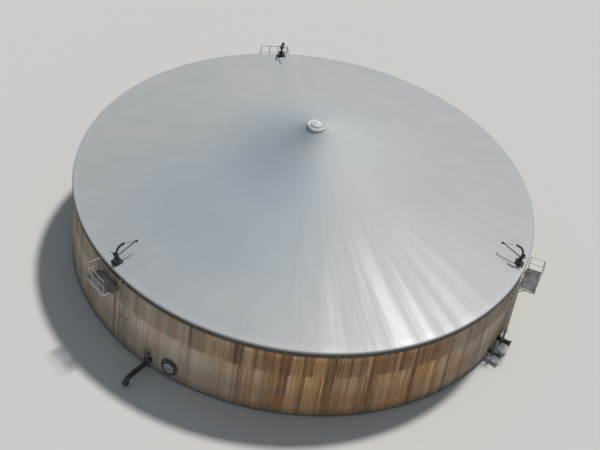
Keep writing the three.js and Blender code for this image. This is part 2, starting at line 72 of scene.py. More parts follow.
def far_lamp(name, azimuth, height, energy, spread, colour):
    """A lamp as far off as the sun; the angle that it fills, its spread, softens the shadows."""
    lamp = new_object(name, bpy.data.lights.new(name, "SUN"))
    lamp.data.energy = energy
    lamp.data.angle = rad(spread)
    lamp.data.color = colour
    lamp.matrix_world = turn(azimuth + 90, "Z") @ turn(90 - height, "X")


camera = new_object("camera", bpy.data.cameras.new("camera"))
camera.data.lens = CAMERA_LENS
camera.data.clip_end = VIEW_REACH
aim = turn(-CAMERA_HEADING, "Z") @ turn(90 - CAMERA_DIP, "X") @ turn(CAMERA_ROLL, "Z")
camera.matrix_world = shift(*CAMERA_PLACE) @ aim
bpy.context.scene.camera = camera

far_lamp("sun", azimuth=45, height=60, energy=2.75, spread=6, colour=(1.0, 0.97, 0.93))
# A wide, weak lamp from below the floor stands for the light that a pale floor throws on the shaded wall
far_lamp("front_light", azimuth=258, height=-12, energy=0.6, spread=50, colour=(1.0, 0.93, 0.84))

sky = bpy.data.worlds.new("studio")
sky.use_nodes = True
sky_light = sky.node_tree.nodes["Background"].inputs
sky_light["Color"].default_value = SKY_COLOUR
sky_light["Strength"].default_value = SKY_STRENGTH
bpy.context.scene.world = sky
bpy.context.scene.view_settings.view_transform = "Standard"

floor_mesh = bpy.data.meshes.new("studio_floor")
floor_corners = [(x * FLOOR_REACH, y * FLOOR_REACH, 0) for x, y in ((-1, -1), (1, -1), (1, 1), (-1, 1))]
floor_mesh.from_pydata(floor_corners, [], [(0, 1, 2, 3)])
floor_paint = bpy.data.materials.new("studio_floor")
floor_paint.use_nodes = True
floor_look = floor_paint.node_tree.nodes["Principled BSDF"].inputs
floor_look["Base Color"].default_value = FLOOR_COLOUR
floor_look["Roughness"].default_value = FLOOR_ROUGHNESS
floor_mesh.materials.append(floor_paint)
studio_floor = new_object("studio_floor", floor_mesh)
studio_floor.visible_shadow = False

# The floor slab and the wall are grey-brown cast concrete: 300 mm of reinforced concrete poured against
# round formwork on the slab. They are the CAD solids themselves, with cloudy tone, pores and a damp foot.
# Only the foot of the wall shows below the boards.
SEGMENTS = 6


def add_node(tree, kind, values, **settings):
    """A node with its settings, and its inputs set to values or joined to other nodes' outputs."""
    node = tree.nodes.new(kind)
    for key, value in settings.items():
        setattr(node, key, value)
    for key, value in values.items():
        if isinstance(value, bpy.types.NodeSocket):
            tree.links.new(value, node.inputs[key])
        else:
            node.inputs[key].default_value = value
    return node


def new_material(name, metallic=0.0):
    """A material, its tree, and the place on the tank that its patterns follow."""
    material = bpy.data.materials.new(name)
    material.use_nodes = True
    tree = material.node_tree
    tree.nodes["Principled BSDF"].inputs["Metallic"].default_value = metallic
    return material, tree, add_node(tree, "ShaderNodeTexCoord", {}).outputs["Object"]


def finish(material, colour, roughness, relief, depth):
    """Joins colour, roughness and a fine relief of the given depth to the material's shader."""
    tree = material.node_tree
    shader = tree.nodes["Principled BSDF"]
    bump = add_node(tree, "ShaderNodeBump", {"Height": relief, "Distance": depth, "Strength": 1.0})
    tree.links.new(colour, shader.inputs["Base Color"])
    tree.links.new(roughness, shader.inputs["Roughness"])
    tree.links.new(bump.outputs["Normal"], shader.inputs["Normal"])
    return material


def tone_ramp(tree, mask, *stops):
    """A colour ramp over a mask; each stop is (place, (r, g, b))."""
    node = add_node(tree, "ShaderNodeValToRGB", {"Fac": mask})
    elements = node.color_ramp.elements
    while len(elements) < len(stops):
        elements.new(0.5)
    for element, (place, colour) in zip(elements, stops):
        element.position = place
        element.color = (*colour, 1)
    return node.outputs["Color"]


def blend_colour(tree, mask, first, second):
    """Goes from the first colour to the second as the mask goes from 0 to 1."""
    first, second = [(*tone, 1) if isinstance(tone, tuple) else tone for tone in (first, second)]
    return add_node(tree, "ShaderNodeMix", {0: mask, 6: first, 7: second}, data_type="RGBA").outputs[2]


def number(tree, operation, first, second=0.5, clamp=False):
    """Arithmetic with numbers, or with outputs that carry numbers."""
    values = {0: first, 1: second}
    return add_node(tree, "ShaderNodeMath", values, operation=operation, use_clamp=clamp).outputs[0]


def vector(tree, operation, first, second=None, output="Vector"):
    """Vector arithmetic; to scale, the second is a number or a number's socket."""
    values = {0: first}
    if second is not None:
        values["Scale" if operation == "SCALE" else 1] = second
    return add_node(tree, "ShaderNodeVectorMath", values, operation=operation).outputs[output]


def noise(tree, place, scale, detail, roughness=0.5):
    """Soft noise about 0.5 that follows a place; scale is in patches to a metre."""
    values = {"Vector": place, "Scale": scale, "Detail": detail, "Roughness": roughness}
    return add_node(tree, "ShaderNodeTexNoise", values).outputs["Fac"]


def span(tree, value, low, high, to_low=0.0, to_high=1.0):
    """Maps low..high to to_low..to_high, smoothly and held at the ends."""
    values = {"Value": value, "From Min": low, "From Max": high, "To Min": to_low, "To Max": to_high}
    node = add_node(tree, "ShaderNodeMapRange", values, interpolation_type="SMOOTHSTEP")
    return node.outputs["Result"]


def height_of(tree, place):
    return add_node(tree, "ShaderNodeSeparateXYZ", {0: place}).outputs["Z"]


def new_group(name, inputs, outputs):
    """An empty node group with named inputs (name and value, or None for a place) and outputs."""
    group = bpy.data.node_groups.new(name, "ShaderNodeTree")
    for label, value in inputs.items():
        kind = "NodeSocketVector" if value is None else "NodeSocketFloat"
        socket = group.interface.new_socket(label, in_out="INPUT", socket_type=kind)
        if value is not None:
            socket.default_value = value
    for label in outputs:
        group.interface.new_socket(label, in_out="OUTPUT", socket_type="NodeSocketFloat")
    return group, group.nodes.new("NodeGroupInput").outputs, group.nodes.new("NodeGroupOutput").inputs


def use_group(tree, group, **values):
    """The outputs of a shared node group, with its inputs set by name."""
    return add_node(tree, "ShaderNodeGroup", values, node_tree=group).outputs


# Cloudy dirt: broad patches and a fine speckle, from one place vector
dirt, given, wanted = new_group(
    "cloudy_dirt", {"Place": None, "Size": 1.0, "Speckle": 0.02}, ("Patches", "Grain"),
)
broad = noise(dirt, given["Place"], number(dirt, "DIVIDE", 1.0, given["Size"]), 5.0, 0.62)
fine = noise(dirt, given["Place"], number(dirt, "DIVIDE", 1.0, given["Speckle"]), 3.0, 0.6)
dirt.links.new(span(dirt, broad, 0.32, 0.68), wanted["Patches"])
dirt.links.new(fine, wanted["Grain"])

# Run-off: vertical streaks below a height, which fade downwards
run_off, given, wanted = new_group(
    "run_off", {"Place": None, "Top": 5.0, "Length": 2.0, "Width": 0.3}, ("Streaks",),
)
squeezed = vector(run_off, "MULTIPLY", given["Place"], (1.0, 1.0, 0.06))
streak_noise = noise(run_off, squeezed, number(run_off, "DIVIDE", 1.0, given["Width"]), 3.0, 0.55)
below_top = number(run_off, "SUBTRACT", given["Top"], height_of(run_off, given["Place"]))
drop = number(run_off, "DIVIDE", below_top, given["Length"])
fade = number(run_off, "SUBTRACT", 1.0, drop, clamp=True)
lines = span(run_off, streak_noise, 0.46, 0.64)
run_off.links.new(number(run_off, "MULTIPLY", lines, fade), wanted["Streaks"])


def cast_concrete():
    """Concrete off round formwork: clouded, streaked by rain and damp at its foot."""
    material, tree, place = new_material("cast_concrete")
    marks = use_group(tree, dirt, Place=place, Size=0.9, Speckle=0.012)
    wet = use_group(tree, run_off, Place=place, Top=5.6, Length=6.0, Width=0.35)
    base = tone_ramp(
        tree, marks["Patches"],
        (0.0, (0.20, 0.18, 0.15)), (0.55, (0.29, 0.265, 0.225)), (1.0, (0.37, 0.345, 0.30)),
    )
    streaked = blend_colour(tree, number(tree, "MULTIPLY", wet["Streaks"], 0.6), base, (0.10, 0.085, 0.07))
    foot = span(tree, height_of(tree, place), 0.35, 0.0, 0.0, 0.7)
    damp = blend_colour(tree, foot, streaked, (0.075, 0.068, 0.055))
    return finish(material, damp, span(tree, marks["Grain"], 0.3, 0.7, 0.8, 0.97), marks["Grain"], 0.004)


def finish_node(name, material):
    """Gives a CAD node its finish."""
    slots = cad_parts[name].data.materials
    slots.clear()
    slots.append(material)


concrete = cast_concrete()
finish_node("floor_slab", concrete)
for index in range(1, SEGMENTS + 1):
    finish_node(f"wall_segment_{index}", concrete)

# The cladding is two tiers of upright softwood boards, under-boards with cover boards nailed over their
# joints, on battens over a black weather sheet. Rain off the roof's rim has streaked them dark, most of all
# below the joints of the coping. The front keeps its brown, and the sides have gone grey.
WALL_OUTER = 14.70
CLADDING_FACE = 14.880
CLADDING_FOOT = 0.15
CLADDING_HEAD = 5.148
TIER_JOINT = 3.42
BOARD_PITCH = 0.75
# A board's width and thickness
UNDER_BOARD = (0.165, 0.024)
COVER_BOARD = (0.075, 0.024)
BOARD_CHAMFER = 0.004
TIER_STEP = 0.014
SHEET_FACE, SHEET_HEAD = 14.828, 5.14
BELTS = 34
BELT_STEP = 360 / BELTS
FIRST_BELT = BELT_STEP / 4
SHEET_JOINTS = [FIRST_BELT + BELT_STEP * k for k in range(BELTS)]
EDGE_WIDTH = 0.0062
MANWAY_AZIMUTH, MANWAY_HEIGHT = 230.625, 1.0
MANWAY_HOLE = 0.485
PIPES = {"drain": (225, 0.64), "transfer": (317.5, 0.62), "feed": (322, 0.76)}
PIPE_HOLE = 0.175
# What passes through the boards: its azimuth and height, and the radius that is sawn out round it
HOLES = [(MANWAY_AZIMUTH, MANWAY_HEIGHT, MANWAY_HOLE)] + [(a, z, PIPE_HOLE) for a, z in PIPES.values()]
SAW_STEPS = 10
NO_MARK = (0.0, 0.0, 0.0)
HERE = Matrix()


def outward(azimuth):
    """Turns local +Y to point outwards from the tank at an azimuth, as the CAD groups do."""
    return turn(azimuth - 90, "Z")


def facing_out(place, x, y, z):
    """A spot on an upright face of a place, with its local Z pointing out of the face."""
    return place @ shift(x, y, z) @ turn(-90, "X")


def round_point(radius, degrees, height=0.0):
    """A point at a radius and an angle about local Z."""
    return (radius * math.cos(rad(degrees)), radius * math.sin(rad(degrees)), height)


def angles(count, start=0.0):
    """Even angles round a circle, in degrees."""
    return [start + 360 * k / count for k in range(count)]


class Shape:
    """Corners and faces of one piece, gathered in metres in the row frame. A mark is three values at a
    corner, which the boards' look reads. Worn is 1 on the narrow faces of an edge, where paint chips."""

    def __init__(self):
        self.corners = []
        self.faces = []
        self.marks = []
        self.worn = []

    def add(self, corners, faces, place=HERE, mark=NO_MARK, worn=None):
        start = len(self.corners)
        self.corners += [place @ Vector(corner) for corner in corners]
        self.faces += [tuple(start + i for i in face) for face in faces]
        self.marks += [mark] * len(corners)
        self.worn += worn or [0.0] * len(faces)

    def block(self, low, high, place=HERE, chamfer=0.003, mark=NO_MARK):
        """A box with all its edges chamfered."""
        low, high = Vector(low), Vector(high)
        cut = min(chamfer, *((high - low) * 0.45))
        corners, index, faces = [], {}, []
        for corner in range(8):
            side = [(corner >> axis) & 1 for axis in range(3)]
            for axis in range(3):
                index[corner, axis] = len(corners)
                corners.append([
                    (high[k] if side[k] else low[k]) + (0 if k == axis else (cut, -cut)[side[k]])
                    for k in range(3)
                ])
        for axis in range(3):
            u, v = (axis + 1) % 3, (axis + 2) % 3
            for top in (0, 1):
                ring = [(top << axis) | (a << u) | (b << v) for a, b in ((0, 0), (1, 0), (1, 1), (0, 1))]
                face = [index[corner, axis] for corner in ring]
                faces.append(face if top else face[::-1])
        for axis in range(3):
            u, v = (axis + 1) % 3, (axis + 2) % 3
            for a, b in ((0, 0), (0, 1), (1, 0), (1, 1)):
                first = (a << u) | (b << v)
                second = first | (1 << axis)
                face = [index[first, u], index[second, u], index[second, v], index[first, v]]
                faces.append(face if a != b else face[::-1])
        for corner in range(8):
            face = [index[corner, axis] for axis in range(3)]
            odd = bin(corner).count("1") % 2
            faces.append(face if odd else face[::-1])
        worn = [0.0] * 6 + [1.0] * (len(faces) - 6)
        self.add(corners, faces, place, mark, worn)

    def upright_block(self, x, half, low, high, place, chamfer=0.003):
        """A block about local (x, 0), half[0] and half[1] to each side, from one height to another."""
        self.block((x - half[0], -half[1], low), (x + half[0], half[1], high), place, chamfer)

    def loft(self, rings, place=HERE, closed=False, mark=NO_MARK):
        """A skin over rings of corners. Its ends are capped, or else its last ring meets its first."""
        size = len(rings[0])
        corners = [corner for ring in rings for corner in ring]
        faces = []
        for i in range(len(rings) if closed else len(rings) - 1):
            low, high = i * size, (i + 1) % len(rings) * size
            for k in range(size):
                n = (k + 1) % size
                faces.append((low + k, low + n, high + n, high + k))
        if not closed:
            faces += [tuple(range(size))[::-1], tuple(range(len(corners) - size, len(corners)))]
        self.add(corners, faces, place, mark)

    def tube(self, points, radius, sides, place=HERE):
        """A round bar along a line of points; radius may be one number or one for each point."""
        points = [Vector(p) for p in points]
        radii = radius if isinstance(radius, list) else [radius] * len(points)
        side = (points[1] - points[0]).normalized().orthogonal().normalized()
        rings = []
        for point, before, after, reach in zip(points, points[:1] + points, points[1:] + points[-1:], radii):
            along = (after - before).normalized()
            side = (side - along * side.dot(along)).normalized()
            other = along.cross(side)
            ring = [round_point(reach, angle) for angle in angles(sides)]
            rings.append([point + side * x + other * y for x, y, _ in ring])
        self.loft(rings, place)

    def turned(self, profile, sides, place=HERE):
        """A profile of (radius, height) turned about local Z, from axis to axis or else closed on itself."""
        corners, faces, rows, worn = [], [], [], []
        for radius, height in profile:
            if radius < 1e-6:
                rows.append([len(corners)] * sides)
                corners.append((0, 0, height))
            else:
                rows.append(list(range(len(corners), len(corners) + sides)))
                corners += [round_point(radius, angle, height) for angle in angles(sides)]
        steps = len(rows) if profile[0][0] > 1e-6 else len(rows) - 1
        for i in range(steps):
            low, high = rows[i], rows[(i + 1) % len(rows)]
            edge = math.dist(profile[i], profile[(i + 1) % len(rows)]) < EDGE_WIDTH
            for k in range(sides):
                n = (k + 1) % sides
                faces.append(tuple(dict.fromkeys((low[k], low[n], high[n], high[k]))))
                worn.append(1.0 if edge else 0.0)
        self.add(corners, faces, place, NO_MARK, worn)

    def hexagon(self, place, size, height):
        """A bolt head on its washer, standing on local Z = 0; size is across the flats."""
        reach = size / math.sqrt(3)
        washer = height * 0.18
        self.turned([(0, 0), (size * 0.85, 0), (size * 0.85, washer), (0, washer)], 14, place)
        head = [(0, washer), (reach, washer), (reach, height * 0.86), (reach * 0.86, height), (0, height)]
        self.turned(head, 6, place)

    def piece(self, name, material, smooth_below=30, body="tank", slot=None):
        """Makes the mesh object, smooth across edges flatter than the given angle."""
        mesh = bpy.data.meshes.new(name)
        mesh.from_pydata(self.corners, [], self.faces)
        mesh.materials.append(material)
        if any(any(mark) for mark in self.marks):
            attribute = mesh.attributes.new("marks", "FLOAT_VECTOR", "POINT")
            attribute.data.foreach_set("vector", [value for mark in self.marks for value in mark])
        if any(self.worn):
            mesh.attributes.new("worn", "FLOAT", "FACE").data.foreach_set("value", self.worn)
        if smooth_below:
            mesh.shade_smooth()
            mesh.set_sharp_from_angle(angle=rad(smooth_below))
        made = new_object(name, mesh)
        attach(made, body)
        return made


def softwood_boards():
    """Weathered boards: marks hold each board's tone, its greyness and how much water runs down it."""
    material, tree, place = new_material("weathered_boards")
    marks = add_node(tree, "ShaderNodeAttribute", {}, attribute_name="marks").outputs["Vector"]
    mark = add_node(tree, "ShaderNodeSeparateXYZ", {0: marks}).outputs
    tone, greyness, wetness = mark["X"], mark["Y"], mark["Z"]
    height = height_of(tree, place)
    fibres = vector(tree, "MULTIPLY", vector(tree, "ADD", place, marks), (1, 1, 0.05))
    grain = noise(tree, fibres, 38.0, 5.0, 0.6)
    cloud = use_group(tree, dirt, Place=place, Size=1.6, Speckle=0.05)
    water = use_group(tree, run_off, Place=place, Top=5.3, Length=5.6, Width=0.16)
    brown = tone_ramp(
        tree, tone,
        (0.0, (0.20, 0.100, 0.038)), (0.5, (0.355, 0.193, 0.084)), (1.0, (0.54, 0.325, 0.158)),
    )
    grey = tone_ramp(
        tree, tone,
        (0.0, (0.225, 0.188, 0.148)), (0.5, (0.36, 0.312, 0.255)), (1.0, (0.49, 0.44, 0.37)),
    )
    uneven = number(tree, "ADD", greyness, span(tree, cloud["Patches"], 0, 1, -0.22, 0.22), clamp=True)
    timber = blend_colour(tree, uneven, brown, grey)
    below_joint = span(tree, height, TIER_JOINT + 0.20, TIER_JOINT - 0.12)
    sheltered = number(tree, "MULTIPLY", below_joint, span(tree, height, 1.5, 2.9, 0.0, 0.32))
    under_eaves = span(tree, height, 4.62, 4.86)
    eaves = number(tree, "MULTIPLY", under_eaves, span(tree, greyness, 0.1, 0.9, 0.32, -0.04))
    lighter = number(tree, "ADD", number(tree, "ADD", sheltered, eaves), 0.96)
    bleached = number(tree, "MULTIPLY", span(tree, grain, 0.3, 0.7, 0.80, 1.14), lighter)
    fibred = vector(tree, "SCALE", timber, bleached)
    upper = span(tree, height, 0.2, 3.8, 0.5, 1.0)
    patchy = number(tree, "MULTIPLY", upper, span(tree, cloud["Patches"], 0, 1, 0.72, 1.12))
    soak = number(tree, "MULTIPLY", wetness, patchy, clamp=True)
    fine_lines = number(tree, "MULTIPLY", water["Streaks"], span(tree, greyness, 0.0, 1.0, 0.6, 0.25))
    stained = number(tree, "MAXIMUM", number(tree, "MULTIPLY", soak, 0.92), fine_lines)
    dark = blend_colour(tree, stained, fibred, (0.088, 0.042, 0.014))
    splashed = blend_colour(tree, span(tree, height, 0.9, 0.15, 0.0, 0.55), dark, (0.085, 0.072, 0.055))
    return finish(material, splashed, span(tree, grain, 0.25, 0.75, 0.72, 0.95), grain, 0.003)


def black_sheet():
    """The weather sheet behind the boards."""
    material, tree, place = new_material("black_weather_sheet")
    marks = use_group(tree, dirt, Place=place, Size=0.4, Speckle=0.01)
    colour = tone_ramp(tree, marks["Patches"], (0.0, (0.010, 0.010, 0.010)), (1.0, (0.028, 0.026, 0.024)))
    return finish(material, colour, span(tree, marks["Grain"], 0.3, 0.7, 0.6, 0.85), marks["Grain"], 0.001)


def hole_in_board(azimuth, width, foot, head):
    """The hole that a board runs into: how far off its middle lies, its height and its radius."""
    for hole_azimuth, height, radius in HOLES:
        across = math.sin(rad(azimuth - hole_azimuth)) * CLADDING_FACE
        if abs(azimuth - hole_azimuth) < 90 and abs(across) < radius + width / 2 and foot < height < head:
            return across, height, radius
    return None


def sawn_board(shape, hole, low, high, place, mark):
    """A board sawn out round a hole: what is left of it below and above the middle of the hole."""
    across, height, radius = hole
    for upper in (False, True):
        rings = []
        for step in range(SAW_STEPS + 1):
            x = low[0] + (high[0] - low[0]) * step / SAW_STEPS
            half = math.sqrt(max(0.0, radius ** 2 - (across - x) ** 2))
            foot = height + half if upper else low[2]
            head = high[2] if upper else height - half
            rings.append([(x, low[1], foot), (x, high[1], foot), (x, high[1], head), (x, low[1], head)])
        shape.loft(rings, place, mark=mark)


BROWN_AZIMUTHS = (274, 270)
BROWN_HALF = 31


def away_from(azimuth, other):
    """How far one azimuth lies from another, the short way round."""
    return (azimuth - other + 180) % 360 - 180


def greyness_at(azimuth, tier):
    """Brown at the front, where the eaves shelter the boards, and grey round the sides."""
    return 0.94 - 0.88 * math.exp(-((away_from(azimuth, BROWN_AZIMUTHS[tier]) / BROWN_HALF) ** 4))


# Water comes through at the joints of the coping and at a lap here and there between, and drips off what is
# fixed to the wall. Each leak has its azimuth and how dark it has turned the lower and the upper tier. The
# worst are at the front.
LEAKS = (
    (91.6, 0.7, 0.7), (211.9, 0.9, 0.7), (219.5, 0.0, 0.35), (231.0, 0.1, 0.3), (235.1, 0.45, 0.9),
    (236.5, 0.1, 0.5), (246.1, 0.5, 0.95), (247.5, 0.8, 0.95), (250.6, 0.6, 0.7), (256.9, 1.0, 1.0),
    (258.2, 0.85, 0.6), (262.0, 0.5, 0.85), (267.4, 0.9, 0.9), (268.6, 0.7, 0.8), (272.4, 0.2, 0.4),
    (277.9, 1.0, 0.9), (283.3, 0.2, 0.6), (284.9, 0.1, 0.95), (288.7, 1.0, 0.8), (299.0, 0.6, 0.5),
    (310.8, 0.6, 0.25), (331.6, 0.7, 0.7),
)
LEAKY_FRONT = (214, 312)
STREAK_WIDTH = 0.55
PATCH_STEP = 1.7
dice = random.Random(24)
leaks = list(LEAKS)
leaks += [
    (joint, dice.uniform(0.05, 0.3), dice.uniform(0.2, 0.6))
    for joint in SHEET_JOINTS if not LEAKY_FRONT[0] < joint < LEAKY_FRONT[1]
]
patch_tones = [[dice.uniform(-0.30, 0.30) for _ in range(int(360 / PATCH_STEP))] for _ in range(2)]


def wetness_at(azimuth, tier):
    """How wet a board gets: most in line with a leak, and here and there between."""
    wet = sum(
        leak[1 + tier] * math.exp(-((away_from(azimuth, leak[0]) / STREAK_WIDTH) ** 4)) for leak in leaks
    )
    front = 1.0 - greyness_at(azimuth, tier)
    return min(1.0, wet * dice.uniform(0.8, 1.0) + dice.random() ** 3 * (0.15 + 0.4 * front))


def patch_at(azimuth, tier):
    """Boards from one bundle weather alike, so the tone drifts over a few boards."""
    tones = patch_tones[tier]
    share = (azimuth / PATCH_STEP) % 1.0
    first = int(azimuth / PATCH_STEP) % len(tones)
    ease = share * share * (3 - 2 * share)
    return tones[first] * (1 - ease) + tones[(first + 1) % len(tones)] * ease


timber = softwood_boards()
weather_sheet = black_sheet()
for index in range(SEGMENTS):
    boards = Shape()
    for tier in (0, 1):
        foot = (CLADDING_FOOT, TIER_JOINT - 0.03)[tier]
        head = (TIER_JOINT + 0.005, CLADDING_HEAD)[tier]
        for half_step in range(int(2 * 60 / BOARD_PITCH)):
            cover = half_step % 2 == 0
            azimuth = index * 60 + half_step * BOARD_PITCH / 2
            width, depth = COVER_BOARD if cover else UNDER_BOARD
            face = CLADDING_FACE - (0 if tier else TIER_STEP) - (0 if cover else COVER_BOARD[1])
            face -= dice.uniform(0, 0.003)
            width += dice.uniform(-0.004, 0.004)
            slip = dice.uniform(-0.006, 0.006)
            grey = greyness_at(azimuth, tier)
            tone = 0.5 + (patch_at(azimuth, tier) + dice.gauss(0.0, 0.11)) * (1.15 - 0.65 * grey)
            tone = min(1.0, max(0.0, tone + 0.03 - 0.05 * tier))
            grey += dice.uniform(-0.10, 0.10)
            mark = (tone, max(0.01, grey), wetness_at(azimuth, tier))
            low = (-width / 2, face - depth, foot + slip * (1 - tier))
            high = (width / 2, face, head)
            hole = hole_in_board(azimuth, width, foot, head)
            if hole:
                sawn_board(boards, hole, low, high, outward(azimuth), mark)
            else:
                boards.block(low, high, outward(azimuth), BOARD_CHAMFER, mark)
    made = boards.piece(f"cladding_boards_{index + 1}", timber, None, slot="cladding_boards")
    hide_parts(f"cladding_{index + 1}")

backing = Shape()
backing.turned([
    (WALL_OUTER + 0.002, CLADDING_FOOT), (SHEET_FACE, CLADDING_FOOT),
    (SHEET_FACE, SHEET_HEAD), (WALL_OUTER + 0.002, SHEET_HEAD),
], 360)
backing.piece("weather_sheet", weather_sheet)

# A folded strip of dark coil-coated sheet closes the air gap behind the boards at their foot. It is nailed
# to the lowest batten.
FOLD_INNER = WALL_OUTER + 0.003
STRIP_OUTER = CLADDING_FACE - 0.008


def dark_sheet_metal():
    """Dark coil-coated sheet with dust on it and faint pale run marks."""
    material, tree, place = new_material("dark_sheet_metal", 0.35)
    marks = use_group(tree, dirt, Place=place, Size=0.7, Speckle=0.02)
    water = use_group(tree, run_off, Place=place, Top=5.6, Length=3.0, Width=0.12)
    base = tone_ramp(tree, marks["Patches"], (0.0, (0.036, 0.031, 0.026)), (1.0, (0.076, 0.067, 0.055)))
    runs = number(tree, "MULTIPLY", water["Streaks"], 0.35)
    streaked = blend_colour(tree, runs, base, (0.16, 0.15, 0.13))
    return finish(material, streaked, span(tree, marks["Patches"], 0, 1, 0.4, 0.7), marks["Grain"], 0.0006)


dark_sheet = dark_sheet_metal()
strip = Shape()
strip.turned([
    (FOLD_INNER, CLADDING_FOOT - 0.012), (STRIP_OUTER, CLADDING_FOOT - 0.012),
    (STRIP_OUTER, CLADDING_FOOT - 0.002), (FOLD_INNER, CLADDING_FOOT + 0.010),
], 360)
strip.piece("foot_strip", dark_sheet, slot="dark_sheet")

# The coping caps the head of the wall: thirty-four lengths of folded dark sheet, each with a drip nose at
# its lower edge, a cover strip over every joint and a row of screws. The roof cloth hangs over its head.
COPING_FACE = 14.954
COPING_UPPER_FACE = COPING_FACE - 0.012
COPING_FOOT, COPING_HEAD = 5.15, 5.553
COPING_STEPS = 12
COVER_HALF, COVER_HEAD = 0.05, 5.54
SHEET_GAP = 0.02
SCREWS, SCREW_STEP, SCREW_HEIGHT = 4, 2, 5.20
COPING_PROFILE = (
    (FOLD_INNER, COPING_FOOT + 0.002), (COPING_FACE - 0.03, COPING_FOOT + 0.002),
    (COPING_FACE - 0.002, COPING_FOOT - 0.004), (COPING_FACE, COPING_FOOT + 0.012),
    (COPING_UPPER_FACE, COPING_FOOT + 0.030), (COPING_UPPER_FACE, COPING_HEAD - 0.02),
    (COPING_FACE - 0.030, COPING_HEAD), (FOLD_INNER, COPING_HEAD),
)


def folded_length(shape, profile, joint, steps):
    """A profile of (radius, height) carried round the tank from one joint to the next."""
    rings = []
    for step in range(steps, -1, -1):
        azimuth = joint + SHEET_GAP + (BELT_STEP - 2 * SHEET_GAP) * step / steps
        rings.append([round_point(radius, azimuth, height) for radius, height in profile])
    shape.loft(rings)


coping = Shape()
covers = Shape()
for joint in SHEET_JOINTS:
    folded_length(coping, COPING_PROFILE, joint, COPING_STEPS)
    covers.block(
        (-COVER_HALF, COPING_UPPER_FACE - 0.001, COPING_FOOT + 0.02),
        (COVER_HALF, COPING_FACE + 0.001, COVER_HEAD), outward(joint),
    )
    for part in range(1, SCREWS + 1):
        screw = facing_out(outward(joint + part * SCREW_STEP), 0, COPING_UPPER_FACE, SCREW_HEIGHT)
        covers.hexagon(screw, 0.016, 0.010)
coping_sheets = coping.piece("coping_sheets", dark_sheet, slot="dark_sheet")
covers.piece("coping_covers", dark_sheet, slot="dark_sheet")
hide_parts("coping_1", "coping_2")

# The column that carries the peak of the cloth is a steel tube on the floor slab with a flared head, hidden
# in the tank. It is hot-dip galvanised, welded up from tube and plate, and it is the CAD solid itself.


def galvanised_steel(name, bright, size=0.022):
    """Hot-dip zinc: a spangle of dull crystals, greyer where it has weathered."""
    material, tree, place = new_material(name, 0.75)
    spangle = add_node(tree, "ShaderNodeTexVoronoi", {"Vector": place, "Scale": 1 / size}).outputs["Color"]
    facets = add_node(tree, "ShaderNodeSeparateColor", {0: spangle}).outputs["Red"]
    marks = use_group(tree, dirt, Place=place, Size=0.5, Speckle=0.015)
    low, high = 0.37 * bright, 0.49 * bright
    zinc = tone_ramp(tree, facets, (0.0, (low, low * 1.01, low * 1.02)), (1.0, (high, high * 1.01, high)))
    dull = blend_colour(tree, span(tree, marks["Patches"], 0.3, 1.0, 0.0, 0.5), zinc, (0.20, 0.195, 0.18))
    return finish(material, dull, span(tree, facets, 0, 1, 0.38, 0.6), marks["Grain"], 0.0005)


galvanised = galvanised_steel("galvanised_steel", 1.0)
finish_node("centre_column", galvanised)

# The roof is one light grey coated membrane, drawn over the column's head and down over the wall, where it
# hangs as a skirt. It is welded up from thirty-four strips, over webbing belts that show as faint ridges.
# It is made here in six gores, each a thin sheet of cloth with two faces.
ROOF_RADIUS = 15.0
RIM_HEIGHT = 5.6
PEAK_RISE = 5.1
TENT_SHARE = 0.3
CROWN_RADIUS = 0.5
CLOTH = 0.006
CLOTH_UNDER_RING = 0.001
SKIRT_FOOT = 5.422
EAVES_BEND = 0.07
BELT_SAG = 0.012
SKIRT_SAG = 0.004
SLOPE_STEPS, EAVES_STEPS, SKIRT_STEPS = 46, 6, 3
GORE_STEPS = 68
# Painted light and shade: round the crown the cloth is painted lighter on the side towards the sun and darker
# and bluer on the side away from it, and the slope to the front left, away from the sun, is painted darker
# and bluer for its shade.
CROWN_SHADE_SIDE = round_point(1.0, 160)
SKY_SHADE_SIDE = round_point(1.0, 222)
SKY_SHADE_TINT = (0.875, 0.935, 0.99)


def roof_height(radius):
    """A straight cone mixed with the logarithmic rise of cloth that is pulled to a point."""
    share = radius / ROOF_RADIUS
    drawn = math.log(1 / share) / math.log(ROOF_RADIUS / CROWN_RADIUS)
    return RIM_HEIGHT + PEAK_RISE * ((1 - TENT_SHARE) * (1 - share) + TENT_SHARE * drawn)


def quarter_turn(steps):
    """A quarter of a circle of radius 1 that sets off level, as (way along, way down)."""
    bends = [math.pi / 2 * k / steps for k in range(steps + 1)]
    return [(math.sin(bend), 1 - math.cos(bend)) for bend in bends]


def cloth_section():
    """The cloth's outer line from the crown down to the hem, as (radius, height, share of the sag)."""
    points = []
    reach = ROOF_RADIUS - EAVES_BEND
    for i in range(SLOPE_STEPS + 1):
        radius = CROWN_RADIUS + 0.004 + (reach - CROWN_RADIUS) * (i / SLOPE_STEPS) ** 1.5
        share = radius / ROOF_RADIUS
        ripple = share ** 1.6 * (1 - share ** 10) if i else 0.0
        points.append((radius, roof_height(radius) - CLOTH_UNDER_RING, ripple))
    top = roof_height(reach) - CLOTH_UNDER_RING
    for along, down in quarter_turn(EAVES_STEPS)[1:]:
        points.append((reach + EAVES_BEND * along, top - EAVES_BEND * down, 0.0))
    low = points[-1][1]
    for i in range(1, SKIRT_STEPS + 1):
        points.append((ROOF_RADIUS, low + (SKIRT_FOOT - low) * i / SKIRT_STEPS, 0.0))
    return points


def between_belts(azimuth):
    """0 on a belt and 1 half way between two, as a taut curve with a crease at the belt."""
    share = ((azimuth - FIRST_BELT) / BELT_STEP) % 1.0
    return 4 * share * (1 - share)


def cloth_point(azimuth, section, depth=0.0):
    """A corner of the cloth, as deep below its outer face as is given."""
    radius, height, sag = section
    height -= BELT_SAG * sag * between_belts(azimuth)
    if height < RIM_HEIGHT - EAVES_BEND * 0.6:
        radius -= SKIRT_SAG * between_belts(azimuth) + depth
    else:
        height -= depth
    return round_point(radius, azimuth, height)


